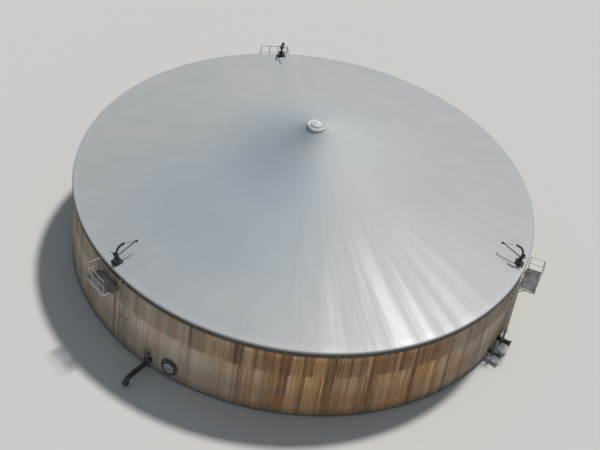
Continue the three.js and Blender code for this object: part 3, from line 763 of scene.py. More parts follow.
# Radial streaks: dirt and wear that run down the slope, from the place's direction and distance
radial, given, wanted = new_group(
    "radial_streaks", {"Place": None, "Count": 30.0, "Drift": 0.08}, ("Streaks", "Distance"),
)
flat_place = vector(radial, "MULTIPLY", given["Place"], (1.0, 1.0, 0.0))
distance = vector(radial, "LENGTH", flat_place, output="Value")
fan = vector(radial, "SCALE", vector(radial, "NORMALIZE", flat_place), given["Count"])
drift = add_node(radial, "ShaderNodeCombineXYZ", {"Z": number(radial, "MULTIPLY", distance, given["Drift"])})
fan_noise = noise(radial, vector(radial, "ADD", fan, drift.outputs[0]), 1.0, 4.0, 0.6)
radial.links.new(span(radial, fan_noise, 0.3, 0.7), wanted["Streaks"])
radial.links.new(distance, wanted["Distance"])


def coated_membrane(name, tone):
    """Grey coated cloth: a satin face, dusty towards the rim, with streaks down the slope; painted light and
    shade round the crown, painted shade on the slope away from the sun, and a skirt darker towards its foot
    with dirt and painted shade.
    """
    material, tree, place = new_material(name)
    marks = use_group(tree, dirt, Place=place, Size=3.2, Speckle=0.03)
    streaks = use_group(tree, radial, Place=place, Count=7.0, Drift=0.06)
    fine = use_group(tree, radial, Place=place, Count=90.0, Drift=0.4)
    distance = streaks["Distance"]

    def toned(*colour):
        return tuple(value * tone for value in colour)

    def towards(side):
        facing = vector(tree, "DOT_PRODUCT", place, side, output="Value")
        return number(tree, "DIVIDE", facing, distance)

    clean = tone_ramp(
        tree, marks["Patches"],
        (0.0, toned(0.418, 0.430, 0.438)), (1.0, toned(0.438, 0.448, 0.453)),
    )
    # Painted light and shade round the crown: lighter on the side towards the sun, darker and bluer on the
    # side away from it
    crown_shade_share = span(tree, towards(CROWN_SHADE_SIDE), -0.9, 0.85)
    crown = blend_colour(tree, crown_shade_share, toned(0.495, 0.512, 0.522), toned(0.330, 0.365, 0.395))
    crown_light_and_shade = blend_colour(tree, span(tree, distance, 0.6, 8.0, 0.95, 0.0), clean, crown)
    # Painted shade: the slope away from the sun is painted darker and bluer, for its shade and the blue of
    # the sky
    sky_shade_side = span(tree, towards(SKY_SHADE_SIDE), 0.5, 1.0)
    painted_sky_shade = number(tree, "MULTIPLY", sky_shade_side, span(tree, distance, 1.5, 3.5))
    painted_sky_shade = number(tree, "MULTIPLY", painted_sky_shade, span(tree, distance, 9.5, 13.5, 1.0, 0.4))
    colour = blend_colour(tree, painted_sky_shade, crown_light_and_shade, vector(tree, "MULTIPLY", crown_light_and_shade, SKY_SHADE_TINT))
    near_rim = span(tree, distance, 4.0, 15.0, 0.15, 1.0)
    dusty = number(tree, "MULTIPLY", number(tree, "MULTIPLY", streaks["Streaks"], near_rim), 0.30)
    dusted = blend_colour(tree, dusty, colour, toned(0.46, 0.455, 0.435))
    grime = number(tree, "MULTIPLY", span(tree, fine["Streaks"], 0.6, 1.0), 0.07)
    grimed = blend_colour(tree, grime, dusted, (0.20, 0.20, 0.19))
    rimmed = blend_colour(tree, span(tree, distance, 14.8, 15.0, 0.0, 0.22), grimed, (0.27, 0.265, 0.245))
    # The skirt is painted darker towards its foot: dirt, and painted shade under the roof's edge
    hem = span(tree, height_of(tree, place), RIM_HEIGHT - 0.02, SKIRT_FOOT + 0.06, 0.0, 0.75)
    skirt_dirt_and_shade = blend_colour(tree, hem, rimmed, (0.125, 0.120, 0.108))
    turned_place = add_node(
        tree, "ShaderNodeVectorRotate", {"Vector": place, "Angle": rad(13.7)}, rotation_type="Z_AXIS",
    ).outputs[0]
    glints = use_group(tree, radial, Place=turned_place, Count=15.0, Drift=0.05)
    uneven = span(tree, glints["Streaks"], 0, 1, -0.06, 0.06)
    uneven = number(tree, "MULTIPLY", uneven, span(tree, distance, 5.0, 12.0))
    sheen = number(tree, "ADD", span(tree, distance, 2.0, 15.0, 0.60, 0.43), uneven)
    weave = number(tree, "MULTIPLY", noise(tree, place, 420.0, 1.0), 0.03)
    relief = number(tree, "ADD", weave, noise(tree, place, 1.6, 2.0))
    return finish(material, skirt_dirt_and_shade, sheen, relief, 0.006)


membrane = coated_membrane("coated_membrane", 1.0)
section_line = cloth_section()
count = len(section_line)
under = (GORE_STEPS + 1) * count
for index in range(SEGMENTS):
    gore = Shape()
    corners, faces = [], []
    for depth in (0.0, CLOTH):
        for step in range(GORE_STEPS + 1):
            azimuth = index * 60 + 60 * step / GORE_STEPS
            corners += [cloth_point(azimuth, point, depth) for point in section_line]
    for step in range(GORE_STEPS):
        crown, hem = step * count, step * count + count - 1
        for a in range(crown, hem):
            b = a + count
            faces += [(a, a + 1, b + 1, b), (under + a, under + b, under + b + 1, under + a + 1)]
        faces.append((crown, crown + count, under + crown + count, under + crown))
        faces.append((hem, under + hem, under + hem + count, hem + count))
    for k in range(count - 1):
        last = GORE_STEPS * count + k
        faces.append((k, under + k, under + k + 1, k + 1))
        faces.append((last, last + 1, under + last + 1, under + last))
    gore.add(corners, faces)
    made = gore.piece(f"roof_cloth_{index + 1}", membrane, 40, slot="roof_membrane")
    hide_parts(f"roof_gore_{index + 1}")

# Weld seams: the strips of cloth overlap by forty millimetres and are hot-air welded. The double thickness
# over each belt stands a few millimetres proud, from the crown to the hem.
SEAM_WIDTH = 0.05
SEAM_PROUD = 0.0025
SEAM_SUNK = -0.001
SEAM_SECTION = ((-1.0, SEAM_SUNK), (-0.9, SEAM_PROUD), (0.9, SEAM_PROUD), (1.0, SEAM_SUNK))
seam_material = coated_membrane("welded_seam", 1.03)
seams = Shape()
for azimuth in SHEET_JOINTS:
    rings = []
    for radius, height, _ in reversed(section_line[1:]):
        half = math.degrees(SEAM_WIDTH / 2 / radius)
        line = (radius, height, 0.0)
        rings.append([cloth_point(azimuth + half * across, line, -lift) for across, lift in SEAM_SECTION])
    seams.loft(rings)
seams.piece("weld_seams", seam_material, slot="roof_membrane")

# The skirt of the cloth is held to the coping by a clamping rail: a dark flat bar round the tank in
# thirty-four lengths, with a bolt and washer every three hundred and fifty millimetres or so.
RAIL_LOW, RAIL_HIGH = 5.436, 5.472
RAIL_BACK, RAIL_FACE = 15.002, 15.016
RAIL_STEPS = 8
RAIL_BOLTS = 8
RAIL_PROFILE = (
    (RAIL_BACK, RAIL_LOW), (RAIL_FACE - 0.003, RAIL_LOW), (RAIL_FACE, RAIL_LOW + 0.004),
    (RAIL_FACE, RAIL_HIGH - 0.004), (RAIL_FACE - 0.003, RAIL_HIGH), (RAIL_BACK, RAIL_HIGH),
)
zinc_bolts = galvanised_steel("zinc_bolts", 1.1, 0.01)
rail = Shape()
rail_bolts = Shape()
for joint in SHEET_JOINTS:
    folded_length(rail, RAIL_PROFILE, joint, RAIL_STEPS)
    for part in range(RAIL_BOLTS):
        place = outward(joint + (part + 0.5) * BELT_STEP / RAIL_BOLTS)
        rail_bolts.hexagon(facing_out(place, 0, RAIL_FACE, (RAIL_LOW + RAIL_HIGH) / 2), 0.018, 0.012)
rail.piece("skirt_clamp_rail", dark_sheet, slot="dark_sheet")
rail_bolts.piece("skirt_clamp_bolts", zinc_bolts, slot="galvanised_steel")

# The peak: a galvanised steel ring clamps the cloth to the column's head with a circle of bolts. A small
# white coated cap, spun from sheet with a domed crown, sits on the head inside the ring and keeps rain out.
SPIGOT_RADIUS = 0.4303
SPIGOT_TOP = 10.64
RING_OUTER = 0.58
RING_COLLAR = 0.485
RING_SEAT = roof_height(CROWN_RADIUS) + 0.0003
RING_TOP = RING_SEAT + 0.034
RING_BOLTS, RING_BOLT_RADIUS = 24, 0.532
CAP_RADIUS = 0.34
CAP_FOOT, CAP_TOP = SPIGOT_TOP + 0.0005, 10.9
CAP_SHOULDER = SPIGOT_TOP + 0.08
CAP_DOME = 0.03
CAP_EDGE = 0.012
CAP_BOLTS = 8


def coated_paint(name, colour, roughness, worn_colour, wear):
    """Brushed or sprayed paint: cloudy dust, a fine orange peel, and bare metal on worn edges."""
    material, tree, place = new_material(name)
    marks = use_group(tree, dirt, Place=place, Size=0.35, Speckle=0.006)
    dusty = tuple(value * 0.72 + 0.03 for value in colour)
    base = blend_colour(tree, span(tree, marks["Patches"], 0, 1, 0.0, 0.6), colour, dusty)
    edges = add_node(tree, "ShaderNodeAttribute", {}, attribute_name="worn").outputs["Fac"]
    chips = number(tree, "MULTIPLY", edges, span(tree, marks["Grain"], 0.5, 0.62, 0.0, wear))
    rough = span(tree, marks["Patches"], 0, 1, roughness - 0.08, roughness + 0.12)
    return finish(material, blend_colour(tree, chips, base, worn_colour), rough, marks["Grain"], 0.0004)


black_paint = coated_paint("black_paint", (0.014, 0.014, 0.015), 0.42, (0.20, 0.13, 0.09), 0.8)
white_coat = coated_paint("white_coat", (0.74, 0.76, 0.77), 0.35, (0.45, 0.45, 0.43), 0.5)
clean_zinc = galvanised_steel("clean_zinc", 1.4)
ring_piece = Shape()
ring_piece.turned([
    (SPIGOT_RADIUS, RING_SEAT + 0.004), (RING_OUTER - 0.005, RING_SEAT - 0.012),
    (RING_OUTER, RING_SEAT - 0.008), (RING_OUTER, RING_TOP - 0.004), (RING_OUTER - 0.004, RING_TOP),
    (RING_COLLAR + 0.008, RING_TOP), (RING_COLLAR, RING_TOP + 0.008), (RING_COLLAR, SPIGOT_TOP - 0.006),
    (RING_COLLAR - 0.005, SPIGOT_TOP), (SPIGOT_RADIUS, SPIGOT_TOP),
], 96)
for azimuth in angles(RING_BOLTS, 4):
    ring_piece.hexagon(outward(azimuth) @ shift(0, RING_BOLT_RADIUS, RING_TOP), 0.030, 0.020)
made = ring_piece.piece("crown_ring", clean_zinc, slot="galvanised_steel")
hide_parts("peak_ring")

# The cap's line runs from its top down to its foot
dome_foot = CAP_TOP - CAP_DOME
shoulder_run = CAP_RADIUS - CAP_EDGE - CAP_RADIUS / 4
cap_line = [(CAP_RADIUS / 4 * along, CAP_TOP - CAP_DOME * down) for along, down in quarter_turn(6)]
for k in range(1, 11):
    share = k / 10
    height = dome_foot - (dome_foot - CAP_SHOULDER) * share ** 1.25
    cap_line.append((CAP_RADIUS / 4 + shoulder_run * share, height))
for along, down in quarter_turn(4)[1:]:
    cap_line.append((CAP_RADIUS - CAP_EDGE + CAP_EDGE * along, CAP_SHOULDER - CAP_EDGE * down))
cap_line += [
    (CAP_RADIUS, CAP_FOOT + 0.012), (CAP_RADIUS - 0.002, CAP_FOOT + 0.008), (CAP_RADIUS - 0.002, CAP_FOOT),
    (0, CAP_FOOT),
]
cap = Shape()
cap.turned(cap_line[::-1], 96)
cap_piece = cap.piece("crown_cap", white_coat, slot="peak_cap")
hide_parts("peak_cap")
cap_bolts = Shape()
for azimuth in angles(CAP_BOLTS):
    cap_bolts.hexagon(facing_out(outward(azimuth), 0, CAP_RADIUS, CAP_FOOT + 0.042), 0.020, 0.013)
cap_bolts.piece("crown_cap_bolts", zinc_bolts, slot="galvanised_steel")

# The three davits stand on the wall's head and pass up through the roof's edge. A davit's pedestal is a box
# welded from 20 mm plate with a bolted bearing ring on top, painted black. A rubber boot with a clamp band
# seals the cloth round it.
DAVITS = {"left": 210, "right": 329, "back": 89}
DAVIT_RADIUS = 14.55
ON_WALL = 5.5405
SOCKET_TOP = 6.05
SOCKET_HALF = (0.17, 0.14)
BEARING_RADIUS = 0.14
BORE = 0.063
PLATE = 0.02
FIT = 0.0005
TOP_PLATE_SIDES = 32
BOOT_SIDES = 64
SHARP_CORNER, SOFT_CORNER = 2 / 9, 2 / 5
# How far the boot stands out from the plates, and how high it is above the cloth
BOOT_LINE = (
    (0.16, -0.001), (0.158, 0.004), (0.10, 0.006), (0.055, 0.012), (0.03, 0.03), (0.012, 0.07),
    (0.005, 0.12), (0.004, 0.17), (0.001, 0.17), (0.001, 0.0),
)
BAND_LINE = ((0.006, 0.0), (0.0085, 0.001), (0.0085, 0.017), (0.006, 0.018))
BAND_RISE = 0.125
EAVES_START = 14.93
rubber_boot = coated_paint("rubber_boot", (0.022, 0.022, 0.023), 0.6, (0.05, 0.05, 0.05), 0.3)


def bolt_circle(shape, place, radius, count, size, start=0.0):
    """Bolt heads in a ring on local Z = 0 of a place."""
    for angle in angles(count, start):
        shape.hexagon(place @ shift(*round_point(radius, angle)), size, size * 0.65)


def round_the_plates(growth, corner):
    """A ring of (x, y) round the pedestal, at a distance from its plates, with rounded corners."""
    ring = []
    for x, y, _ in [round_point(1.0, angle) for angle in angles(BOOT_SIDES)]:
        ring.append((
            (SOCKET_HALF[0] + growth) * math.copysign(abs(x) ** corner, x),
            (SOCKET_HALF[1] + growth) * math.copysign(abs(y) ** corner, y),
        ))
    return ring


def davit_pedestal(side):
    """The welded box with its bearing ring, and the boot and band that seal the cloth round it."""
    half_x, half_y = SOCKET_HALF
    here = outward(DAVITS[side]) @ shift(0, DAVIT_RADIUS, 0)
    top = SOCKET_TOP - 0.03
    pedestal = Shape()
    short_half = half_y - PLATE - FIT
    for way in (-1, 1):
        x = sorted((way * half_x, way * (half_x - PLATE)))
        y = sorted((way * half_y, way * (half_y - PLATE)))
        pedestal.block((-half_x, y[0], ON_WALL), (half_x, y[1], top - PLATE), here, 0.004)
        pedestal.block((x[0], -short_half, ON_WALL), (x[1], short_half, top - PLATE), here, 0.004)
    edge, bore = [], []
    for angle in angles(TOP_PLATE_SIDES, 180 / TOP_PLATE_SIDES):
        x, y, _ = round_point(1.0, angle)
        edge.append(round_point(min(half_x / abs(x), half_y / abs(y)), angle))
        bore.append(round_point(BORE, angle))
    rings = []
    for outline, height in ((edge, top - PLATE + FIT), (edge, top), (bore, top), (bore, top - PLATE + FIT)):
        rings.append([(x, y, height) for x, y, _ in outline])
    pedestal.loft(rings, here, closed=True)
    pedestal.turned([
        (BORE, top + FIT), (BEARING_RADIUS - 0.004, top + FIT), (BEARING_RADIUS, top + 0.004),
        (BEARING_RADIUS, SOCKET_TOP - 0.004), (BEARING_RADIUS - 0.004, SOCKET_TOP - FIT),
        (BORE, SOCKET_TOP - FIT),
    ], 48, here)
    for x in (0.03 - half_x, half_x - 0.03):
        for y in (0.03 - half_y, half_y - 0.03):
            pedestal.hexagon(here @ shift(x, y, top), 0.024, 0.015)
    made = pedestal.piece(f"davit_pedestal_{side}", black_paint, slot="black_paint")
    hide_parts(f"davit_{side}_socket")

    boot = Shape()
    level = roof_height(DAVIT_RADIUS)
    rings = []
    for growth, rise in BOOT_LINE:
        outer = min(growth / 0.03, 1.0)
        ring = []
        for x, y in round_the_plates(growth, SHARP_CORNER if growth < 0.02 else SOFT_CORNER):
            on_cloth = roof_height(min(EAVES_START, math.hypot(x, DAVIT_RADIUS + y)))
            ring.append((x, y, level + (on_cloth - level) * outer + rise))
        rings.append(ring)
    boot.loft(rings, here, closed=True)
    boot.piece(f"davit_boot_{side}", rubber_boot, 40, slot="dark_sheet")
    band = Shape()
    low = level + BAND_RISE
    band.loft([
        [(x, y, low + rise) for x, y in round_the_plates(growth, SHARP_CORNER)] for growth, rise in BAND_LINE
    ], here, closed=True)
    band.block((half_x + 0.005, -0.02, low - 0.004), (half_x + 0.03, 0.02, low + 0.022), here)
    band.piece(f"davit_boot_band_{side}", zinc_bolts, slot="galvanised_steel")


for side in DAVITS:
    davit_pedestal(side)

# The jib turns on a pin in the bearing ring. Its mast is a bent tube that leans outwards and turns in at its
# head, with a thin boom tied to it. A hand winch, a sheave and a wire rope do the lifting. All is welded
# steel, painted black, with a bright wire and a galvanised hook.
# Places on a jib are (y, z) from the middle of the bearing ring's top, with y outwards from the tank
PIN_RADIUS = 0.06
PIN_DEPTH = 0.2
FOOT_PLATE = 0.03
MAST_RADIUS = 0.07
MAST_CURVE = [(0, 0.015), (0.025, 0.22), (0.06, 0.43), (0.02, 0.68), (-0.16, 0.88), (-0.43, 0.96)]
GUSSET = ((0.055, 0.028), (0.105, 0.028), (0.105, 0.038), (0.066, 0.13), (0.055, 0.13))
GUSSET_HALF = 0.005
BOOM_FOOT = (0, 0.14)
BOOM_TIP = (-1.3, 0.78)
BOOM_RADIUS = 0.032
TIE_START = (-0.40, 0.955)
TIE_RADIUS = 0.0084
TURNBUCKLE_SHARE, TURNBUCKLE_HALF = 0.45, 0.09
CHEEK_LOW, CHEEK_HIGH = 0.69, 0.825
SHEAVE = (-1.35, 0.74)
SHEAVE_RADIUS = 0.075
SHEAVE_GROOVE = SHEAVE_RADIUS - 0.014
WINCH_LOW, WINCH_HIGH = (0.05, 0.23), (0.24, 0.40)
WINCH_LEFT, WINCH_RIGHT = -0.11, 0.078
WINCH_PLATE = 0.010
DRUM = (0.17, 0.315)
# The gear's disk and the drum's two flanges: left side, radius and width
DRUM_DISKS = ((-0.095, 0.07, 0.02), (0.092, 0.085, 0.006), (0.160, 0.085, 0.006))
GEAR_TEETH, GEAR_TIP, GEAR_ROOT = 30, 0.079, 0.070
GEAR_SIDES = (-0.093, -0.077)
CRANK_X = 0.184
CRANK_END = (0.33, 0.42)
WIRE_RADIUS = 0.005
COIL_TURNS, COIL_STEPS, COIL_RADIUS = 5, 20, 0.056
HOOK_RADIUS = 0.026
bright_wire = galvanised_steel("bright_wire", 1.3, 0.01)


def smooth_run(points, steps):
    """Points along a smooth curve through the given (y, z) points, as the bent tube has."""
    line = [Vector((0, y, z)) for y, z in points]
    line = [2 * line[0] - line[1], *line, 2 * line[-1] - line[-2]]
    made = []
    for i in range(1, len(line) - 2):
        before, start, end, after = line[i - 1:i + 3]
        for step in range(steps):
            t = step / steps
            made.append(0.5 * (
                2 * start + (end - before) * t + (2 * before - 5 * start + 4 * end - after) * t * t
                + (3 * start - before - 3 * end + after) * t ** 3
            ))
    made.append(line[-2])
    return made


def round_a_bar(middle, radius, degrees, x=0.0):
    """A point at a distance and an angle from a bar that lies across the jib at (y, z)."""
    y, z, _ = round_point(radius, degrees)
    return (x, middle[0] + y, middle[1] + z)


def cross_bar(shape, here, middle, start, end, radius, sides):
    """A round bar that lies across the jib at (y, z), from one local x to another."""
    shape.tube([(start, *middle), (end, *middle)], radius, sides, here)


def davit_frame(jib, here):
    """The pin and foot plate, the mast with its gussets, the boom and its tie with a turnbuckle."""
    jib.turned([
        (0, -PIN_DEPTH), (PIN_RADIUS - 0.006, -PIN_DEPTH), (PIN_RADIUS, -PIN_DEPTH + 0.006),
        (PIN_RADIUS, 0.001), (BEARING_RADIUS - 0.004, 0.001), (BEARING_RADIUS, 0.005),
        (BEARING_RADIUS, FOOT_PLATE - 0.004), (BEARING_RADIUS - 0.004, FOOT_PLATE), (0, FOOT_PLATE),
    ], 48, here)
    bolt_circle(jib, here @ shift(0, 0, FOOT_PLATE), radius=0.115, count=8, size=0.02)
    mast_line = smooth_run(MAST_CURVE, 8)
    jib.tube(mast_line, MAST_RADIUS, 28, here)
    head, behind = mast_line[-1], mast_line[-2]
    ahead = (head - behind).normalized()
    jib.tube(
        [head + ahead * reach for reach in (-0.01, 0.008, 0.03, 0.05)],
        [MAST_RADIUS + 0.004, MAST_RADIUS + 0.004, MAST_RADIUS * 0.85, MAST_RADIUS * 0.5], 28, here,
    )
    for angle in (45, 135, 225, 315):
        rings = [[(x, y, z) for y, z in GUSSET] for x in (-GUSSET_HALF, GUSSET_HALF)]
        jib.loft(rings, here @ turn(angle, "Z"))
    tip, foot, tie_start = [Vector((0, *spot)) for spot in (BOOM_TIP, BOOM_FOOT, TIE_START)]
    along = (tip - foot).normalized()
    tie = (tip - tie_start).normalized()
    jib.tube([foot, tip - along * 0.04], BOOM_RADIUS, 20, here)
    jib.tube([foot + along * 0.05, foot + along * 0.10], BOOM_RADIUS + 0.006, 20, here)
    jib.tube([tie_start, tip - tie * 0.03], TIE_RADIUS, 10, here)
    middle = tie_start.lerp(tip, TURNBUCKLE_SHARE)
    for way in (-1, 1):
        side_bar = middle + Vector((way * 0.014, 0, 0))
        jib.tube([side_bar - tie * TURNBUCKLE_HALF, side_bar + tie * TURNBUCKLE_HALF], 0.005, 8, here)
        nut = middle + tie * (TURNBUCKLE_HALF + 0.005) * way
        jib.tube([nut - tie * 0.014, nut + tie * 0.014], 0.02, 6, here)
    for x in (-0.026, 0.020):
        low, high = (x, BOOM_TIP[0] - 0.10, CHEEK_LOW), (x + 0.006, BOOM_TIP[0] + 0.045, CHEEK_HIGH)
        jib.block(low, high, here, 0.002)
    cross_bar(jib, here, SHEAVE, -0.034, 0.034, 0.012, 16)
    for x in (-0.036, 0.030):
        cross_bar(jib, here, SHEAVE, x, x + 0.006, 0.021, 6)


def hand_winch(jib, here):
    """The winch's cheeks, their ties, the drum's axle and disks, the gear and the crank."""
    right = WINCH_RIGHT + WINCH_PLATE
    for x in (WINCH_LEFT, WINCH_RIGHT):
        jib.block((x, *WINCH_LOW), (x + WINCH_PLATE, *WINCH_HIGH), here)
    jib.block((WINCH_LEFT, *WINCH_LOW), (right, WINCH_HIGH[0], WINCH_LOW[1] + 0.012), here)
    jib.block((WINCH_LEFT, WINCH_HIGH[0] - 0.012, WINCH_HIGH[1] - 0.035), (right, *WINCH_HIGH), here)
    cross_bar(jib, here, DRUM, -0.115, 0.185, 0.014, 16)
    for x, radius, width in DRUM_DISKS:
        cross_bar(jib, here, DRUM, x, x + width, radius, 36)
    rings = []
    for x in GEAR_SIDES:
        rings.append([
            round_a_bar(DRUM, GEAR_TIP if k % 2 else GEAR_ROOT, 180 * k / GEAR_TEETH, x)
            for k in range(2 * GEAR_TEETH)
        ])
    jib.loft(rings, here)
    cross_bar(jib, here, DRUM, CRANK_X - 0.012, CRANK_X + 0.014, 0.03, 20)
    jib.tube([(CRANK_X, *DRUM), (CRANK_X, *CRANK_END)], 0.011, 14, here)
    cross_bar(jib, here, CRANK_END, CRANK_X - 0.012, CRANK_X + 0.016, 0.016, 16)


def wire_and_sheave(metal, here):
    """The grooved sheave, the wire's coil on the drum, its run to the sheave, and the hook."""
    metal.turned([
        (0.014, -0.016), (SHEAVE_RADIUS, -0.016), (SHEAVE_RADIUS, -0.012), (SHEAVE_GROOVE, -0.004),
        (SHEAVE_GROOVE, 0.004), (SHEAVE_RADIUS, 0.012), (SHEAVE_RADIUS, 0.016), (0.014, 0.016),
    ], 40, here @ shift(0, *SHEAVE) @ turn(90, "Y"))
    cross_bar(metal, here, DRUM, 0.098, 0.166, 0.050, 32)
    coil = [
        round_a_bar(DRUM, COIL_RADIUS, 360 * k / COIL_STEPS, 0.104 + 0.0115 * k / COIL_STEPS)
        for k in range(COIL_TURNS * COIL_STEPS + 1)
    ]
    metal.tube(coil, WIRE_RADIUS, 8, here)
    leave = Vector((0.150, DRUM[0] - 0.02, DRUM[1] + 0.055))
    onto = Vector((0.004, SHEAVE[0] + 0.035, SHEAVE[1] + SHEAVE_GROOVE))
    wire = [leave, leave.lerp(onto, 0.5), onto]
    for k in range(1, 9):
        wire.append(Vector(round_a_bar(SHEAVE, SHEAVE_GROOVE + WIRE_RADIUS, 62 + 118 * k / 8)))
    bottom = wire[-1] - Vector((0, 0, 0.12))
    metal.tube([*wire, bottom], WIRE_RADIUS, 8, here)

    def below(drop):
        return bottom - Vector((0, 0, drop))

    metal.tube([below(-0.04), below(0.01)], 0.011, 12, here)
    metal.tube([below(0.01), below(0.05)], [0.016, 0.010], 12, here)
    hook = []
    for k in range(15):
        _, y, z = round_a_bar((0, 0), HOOK_RADIUS, 90 - 265 * k / 14)
        hook.append(below(0.076) + Vector((0, y, z)))
    metal.tube(hook, [0.008] * 10 + [0.0075, 0.0068, 0.006, 0.005, 0.0035], 12, here)


for side, azimuth in DAVITS.items():
    here = outward(azimuth) @ shift(0, DAVIT_RADIUS, SOCKET_TOP)
    body = f"jib_{side}"
    jib = Shape()
    davit_frame(jib, here)
    hand_winch(jib, here)
    made = jib.piece(f"davit_jib_{side}", black_paint, 35, body, "black_paint")
    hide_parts(f"davit_{side}_jib")
    grip = Shape()
    grip_stations = (0.018, 0.024, 0.05, 0.085, 0.103, 0.109)
    grip_radii = [0.010, 0.015, 0.018, 0.017, 0.014, 0.008]
    grip.tube([(CRANK_X + x, *CRANK_END) for x in grip_stations], grip_radii, 16, here)
    grip.piece(f"winch_grip_{side}", rubber_boot, 40, body, "black_paint")
    metal = Shape()
    wire_and_sheave(metal, here)
    metal.piece(f"davit_wire_and_sheave_{side}", bright_wire, 40, body, "galvanised_steel")

# A service platform hangs outside the wall below each davit: a welded channel frame on two knee brackets,
# floored with open grating of flat bars and rods. Everything is hot-dip galvanised and bolted to the wall.
PLATFORMS = {"left": 210, "right": 330, "back": 90}
LADDER_SIDES = {"left": 1, "right": -1, "back": 1}
FACET = 3.75
WALL_FACE = CLADDING_FACE * math.cos(rad(FACET / 2)) + 0.0003
PLATE_FACE = WALL_FACE + 0.015
DECK_TOP = 4.45
HALF_DECK = 1.0
DECK_INNER = 14.92
DECK_OUTER = 16.08
CHANNEL = (0.06, 0.12)
UNDER_DECK = DECK_TOP - CHANNEL[1]
LIP = 0.008
LIP_FIT = 0.0002
GRATING_EDGE = 0.012
GRATING_BARS, GRATING_RODS = 55, 20
ARM_END = DECK_OUTER - 0.07
# The frame's four channels: from and to, as (x, y), and the way that their flanges point
FRAME_RUNS = (
    ((-HALF_DECK, DECK_OUTER), (HALF_DECK, DECK_OUTER), (0, -1)),
    ((-HALF_DECK, DECK_INNER), (HALF_DECK, DECK_INNER), (0, 1)),
    ((-HALF_DECK, DECK_INNER + CHANNEL[0]), (-HALF_DECK, DECK_OUTER - CHANNEL[0]), (1, 0)),
    ((HALF_DECK, DECK_INNER + CHANNEL[0]), (HALF_DECK, DECK_OUTER - CHANNEL[0]), (-1, 0)),
)


def spaced(first, last, count):
    """Even places from the first to the last."""
    return [first + (last - first) * k / (count - 1) for k in range(count)]


def knee_bracket(deck, bracket):
    """A wall plate with eight bolts, a doubled arm under the deck and a sloping box strut."""
    deck.block((-0.08, WALL_FACE, UNDER_DECK - 0.85), (0.08, PLATE_FACE, UNDER_DECK - 0.01), bracket)
    arm_start, arm_foot = PLATE_FACE - 0.002, UNDER_DECK - 0.09
    for x in (-0.03, 0.022):
        deck.block((x, arm_start, arm_foot), (x + 0.008, ARM_END, UNDER_DECK - FIT), bracket, 0.002)
    deck.block((-0.022, arm_start, arm_foot), (0.022, ARM_END, arm_foot + 0.008), bracket, 0.002)
    foot = Vector((0, PLATE_FACE + 0.012, UNDER_DECK - 0.78))
    head = Vector((0, DECK_OUTER - 0.20, UNDER_DECK - 0.06))
    lean = math.degrees(math.atan2(head.y - foot.y, head.z - foot.z))
    strut = bracket @ shift(*foot) @ turn(-lean, "X")
    deck.upright_block(0, (0.021, 0.028), -0.005, (head - foot).length, strut, 0.006)
    deck.block(
        (-0.05, PLATE_FACE - 0.001, UNDER_DECK - 0.83),
        (0.05, PLATE_FACE + 0.010, UNDER_DECK - 0.71), bracket,
    )
    for x in (-0.055, 0.055):
        for drop in (0.82, 0.55, 0.30, 0.05):
            deck.hexagon(facing_out(bracket, x, PLATE_FACE, UNDER_DECK - drop), 0.024, 0.018)


def service_deck(side):
    """The channel frame, the grating in it and the two brackets that carry it."""
    here = outward(PLATFORMS[side])
    deck = Shape()
    for start, end, inwards in FRAME_RUNS:
        for low, high, reach in (
            (UNDER_DECK, DECK_TOP, LIP), (UNDER_DECK + LIP_FIT, UNDER_DECK + LIP, CHANNEL[0]),
            (DECK_TOP - LIP, DECK_TOP - LIP_FIT, CHANNEL[0]),
        ):
            x = sorted((start[0], end[0] + inwards[0] * reach))
            y = sorted((start[1], end[1] + inwards[1] * reach))
            deck.block((x[0], y[0], low), (x[1], y[1], high), here, 0.002)
    inner, outer = DECK_INNER + GRATING_EDGE, DECK_OUTER - GRATING_EDGE
    for x in spaced(0.025 - HALF_DECK, HALF_DECK - 0.025, GRATING_BARS):
        deck.block((x - 0.0018, inner, DECK_TOP - 0.042), (x + 0.0018, outer, DECK_TOP - 0.009), here, 0.0008)
    reach = HALF_DECK - GRATING_EDGE
    for y in spaced(DECK_INNER + 0.04, DECK_OUTER - 0.04, GRATING_RODS):
        deck.tube([(-reach, y, DECK_TOP - 0.013), (reach, y, DECK_TOP - 0.013)], 0.003, 6, here)
    for turned_by in (-FACET / 2, FACET / 2):
        knee_bracket(deck, here @ turn(turned_by, "Z"))
    made = deck.piece(f"service_deck_{side}", galvanised, slot="galvanised_steel")
    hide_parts(f"platform_{side}_deck")


for side in PLATFORMS:
    service_deck(side)

# Guard rails round the platforms are 48 mm tube with a knee rail, a flat toe board and bolted foot plates.
# The ends turn down in smooth bends. The side towards the ladder is left open.
RAIL_TUBE = 0.0242
RAIL_BEND = 0.09
RAIL_TOP = DECK_TOP + 1.1
RAIL_AXIS = RAIL_TOP - RAIL_TUBE
KNEE_HEIGHT = DECK_TOP + 0.55
SLEEVE_HALF = 0.028
RAIL_FOOT = DECK_TOP + 0.0003
EDGE_LINE = 0.03
OUTER_LINE = DECK_OUTER - EDGE_LINE
TOE_HALF, TOE_LOW, TOE_HIGH = 0.0045, DECK_TOP + 0.011, DECK_TOP + 0.11


def hoop(start, end, foot, top, bend):
    """The middle line of a bar that rises from foot to top, bends over and comes down again."""
    along = (end - start).normalized()
    corner = [(bend * run, top - bend + bend * rise) for rise, run in quarter_turn(6)]
    up = [start + along * run + Vector((0, 0, height)) for run, height in corner]
    down = [end - along * run + Vector((0, 0, height)) for run, height in reversed(corner)]
    return [start + Vector((0, 0, foot)), *up, *down, end + Vector((0, 0, foot))]


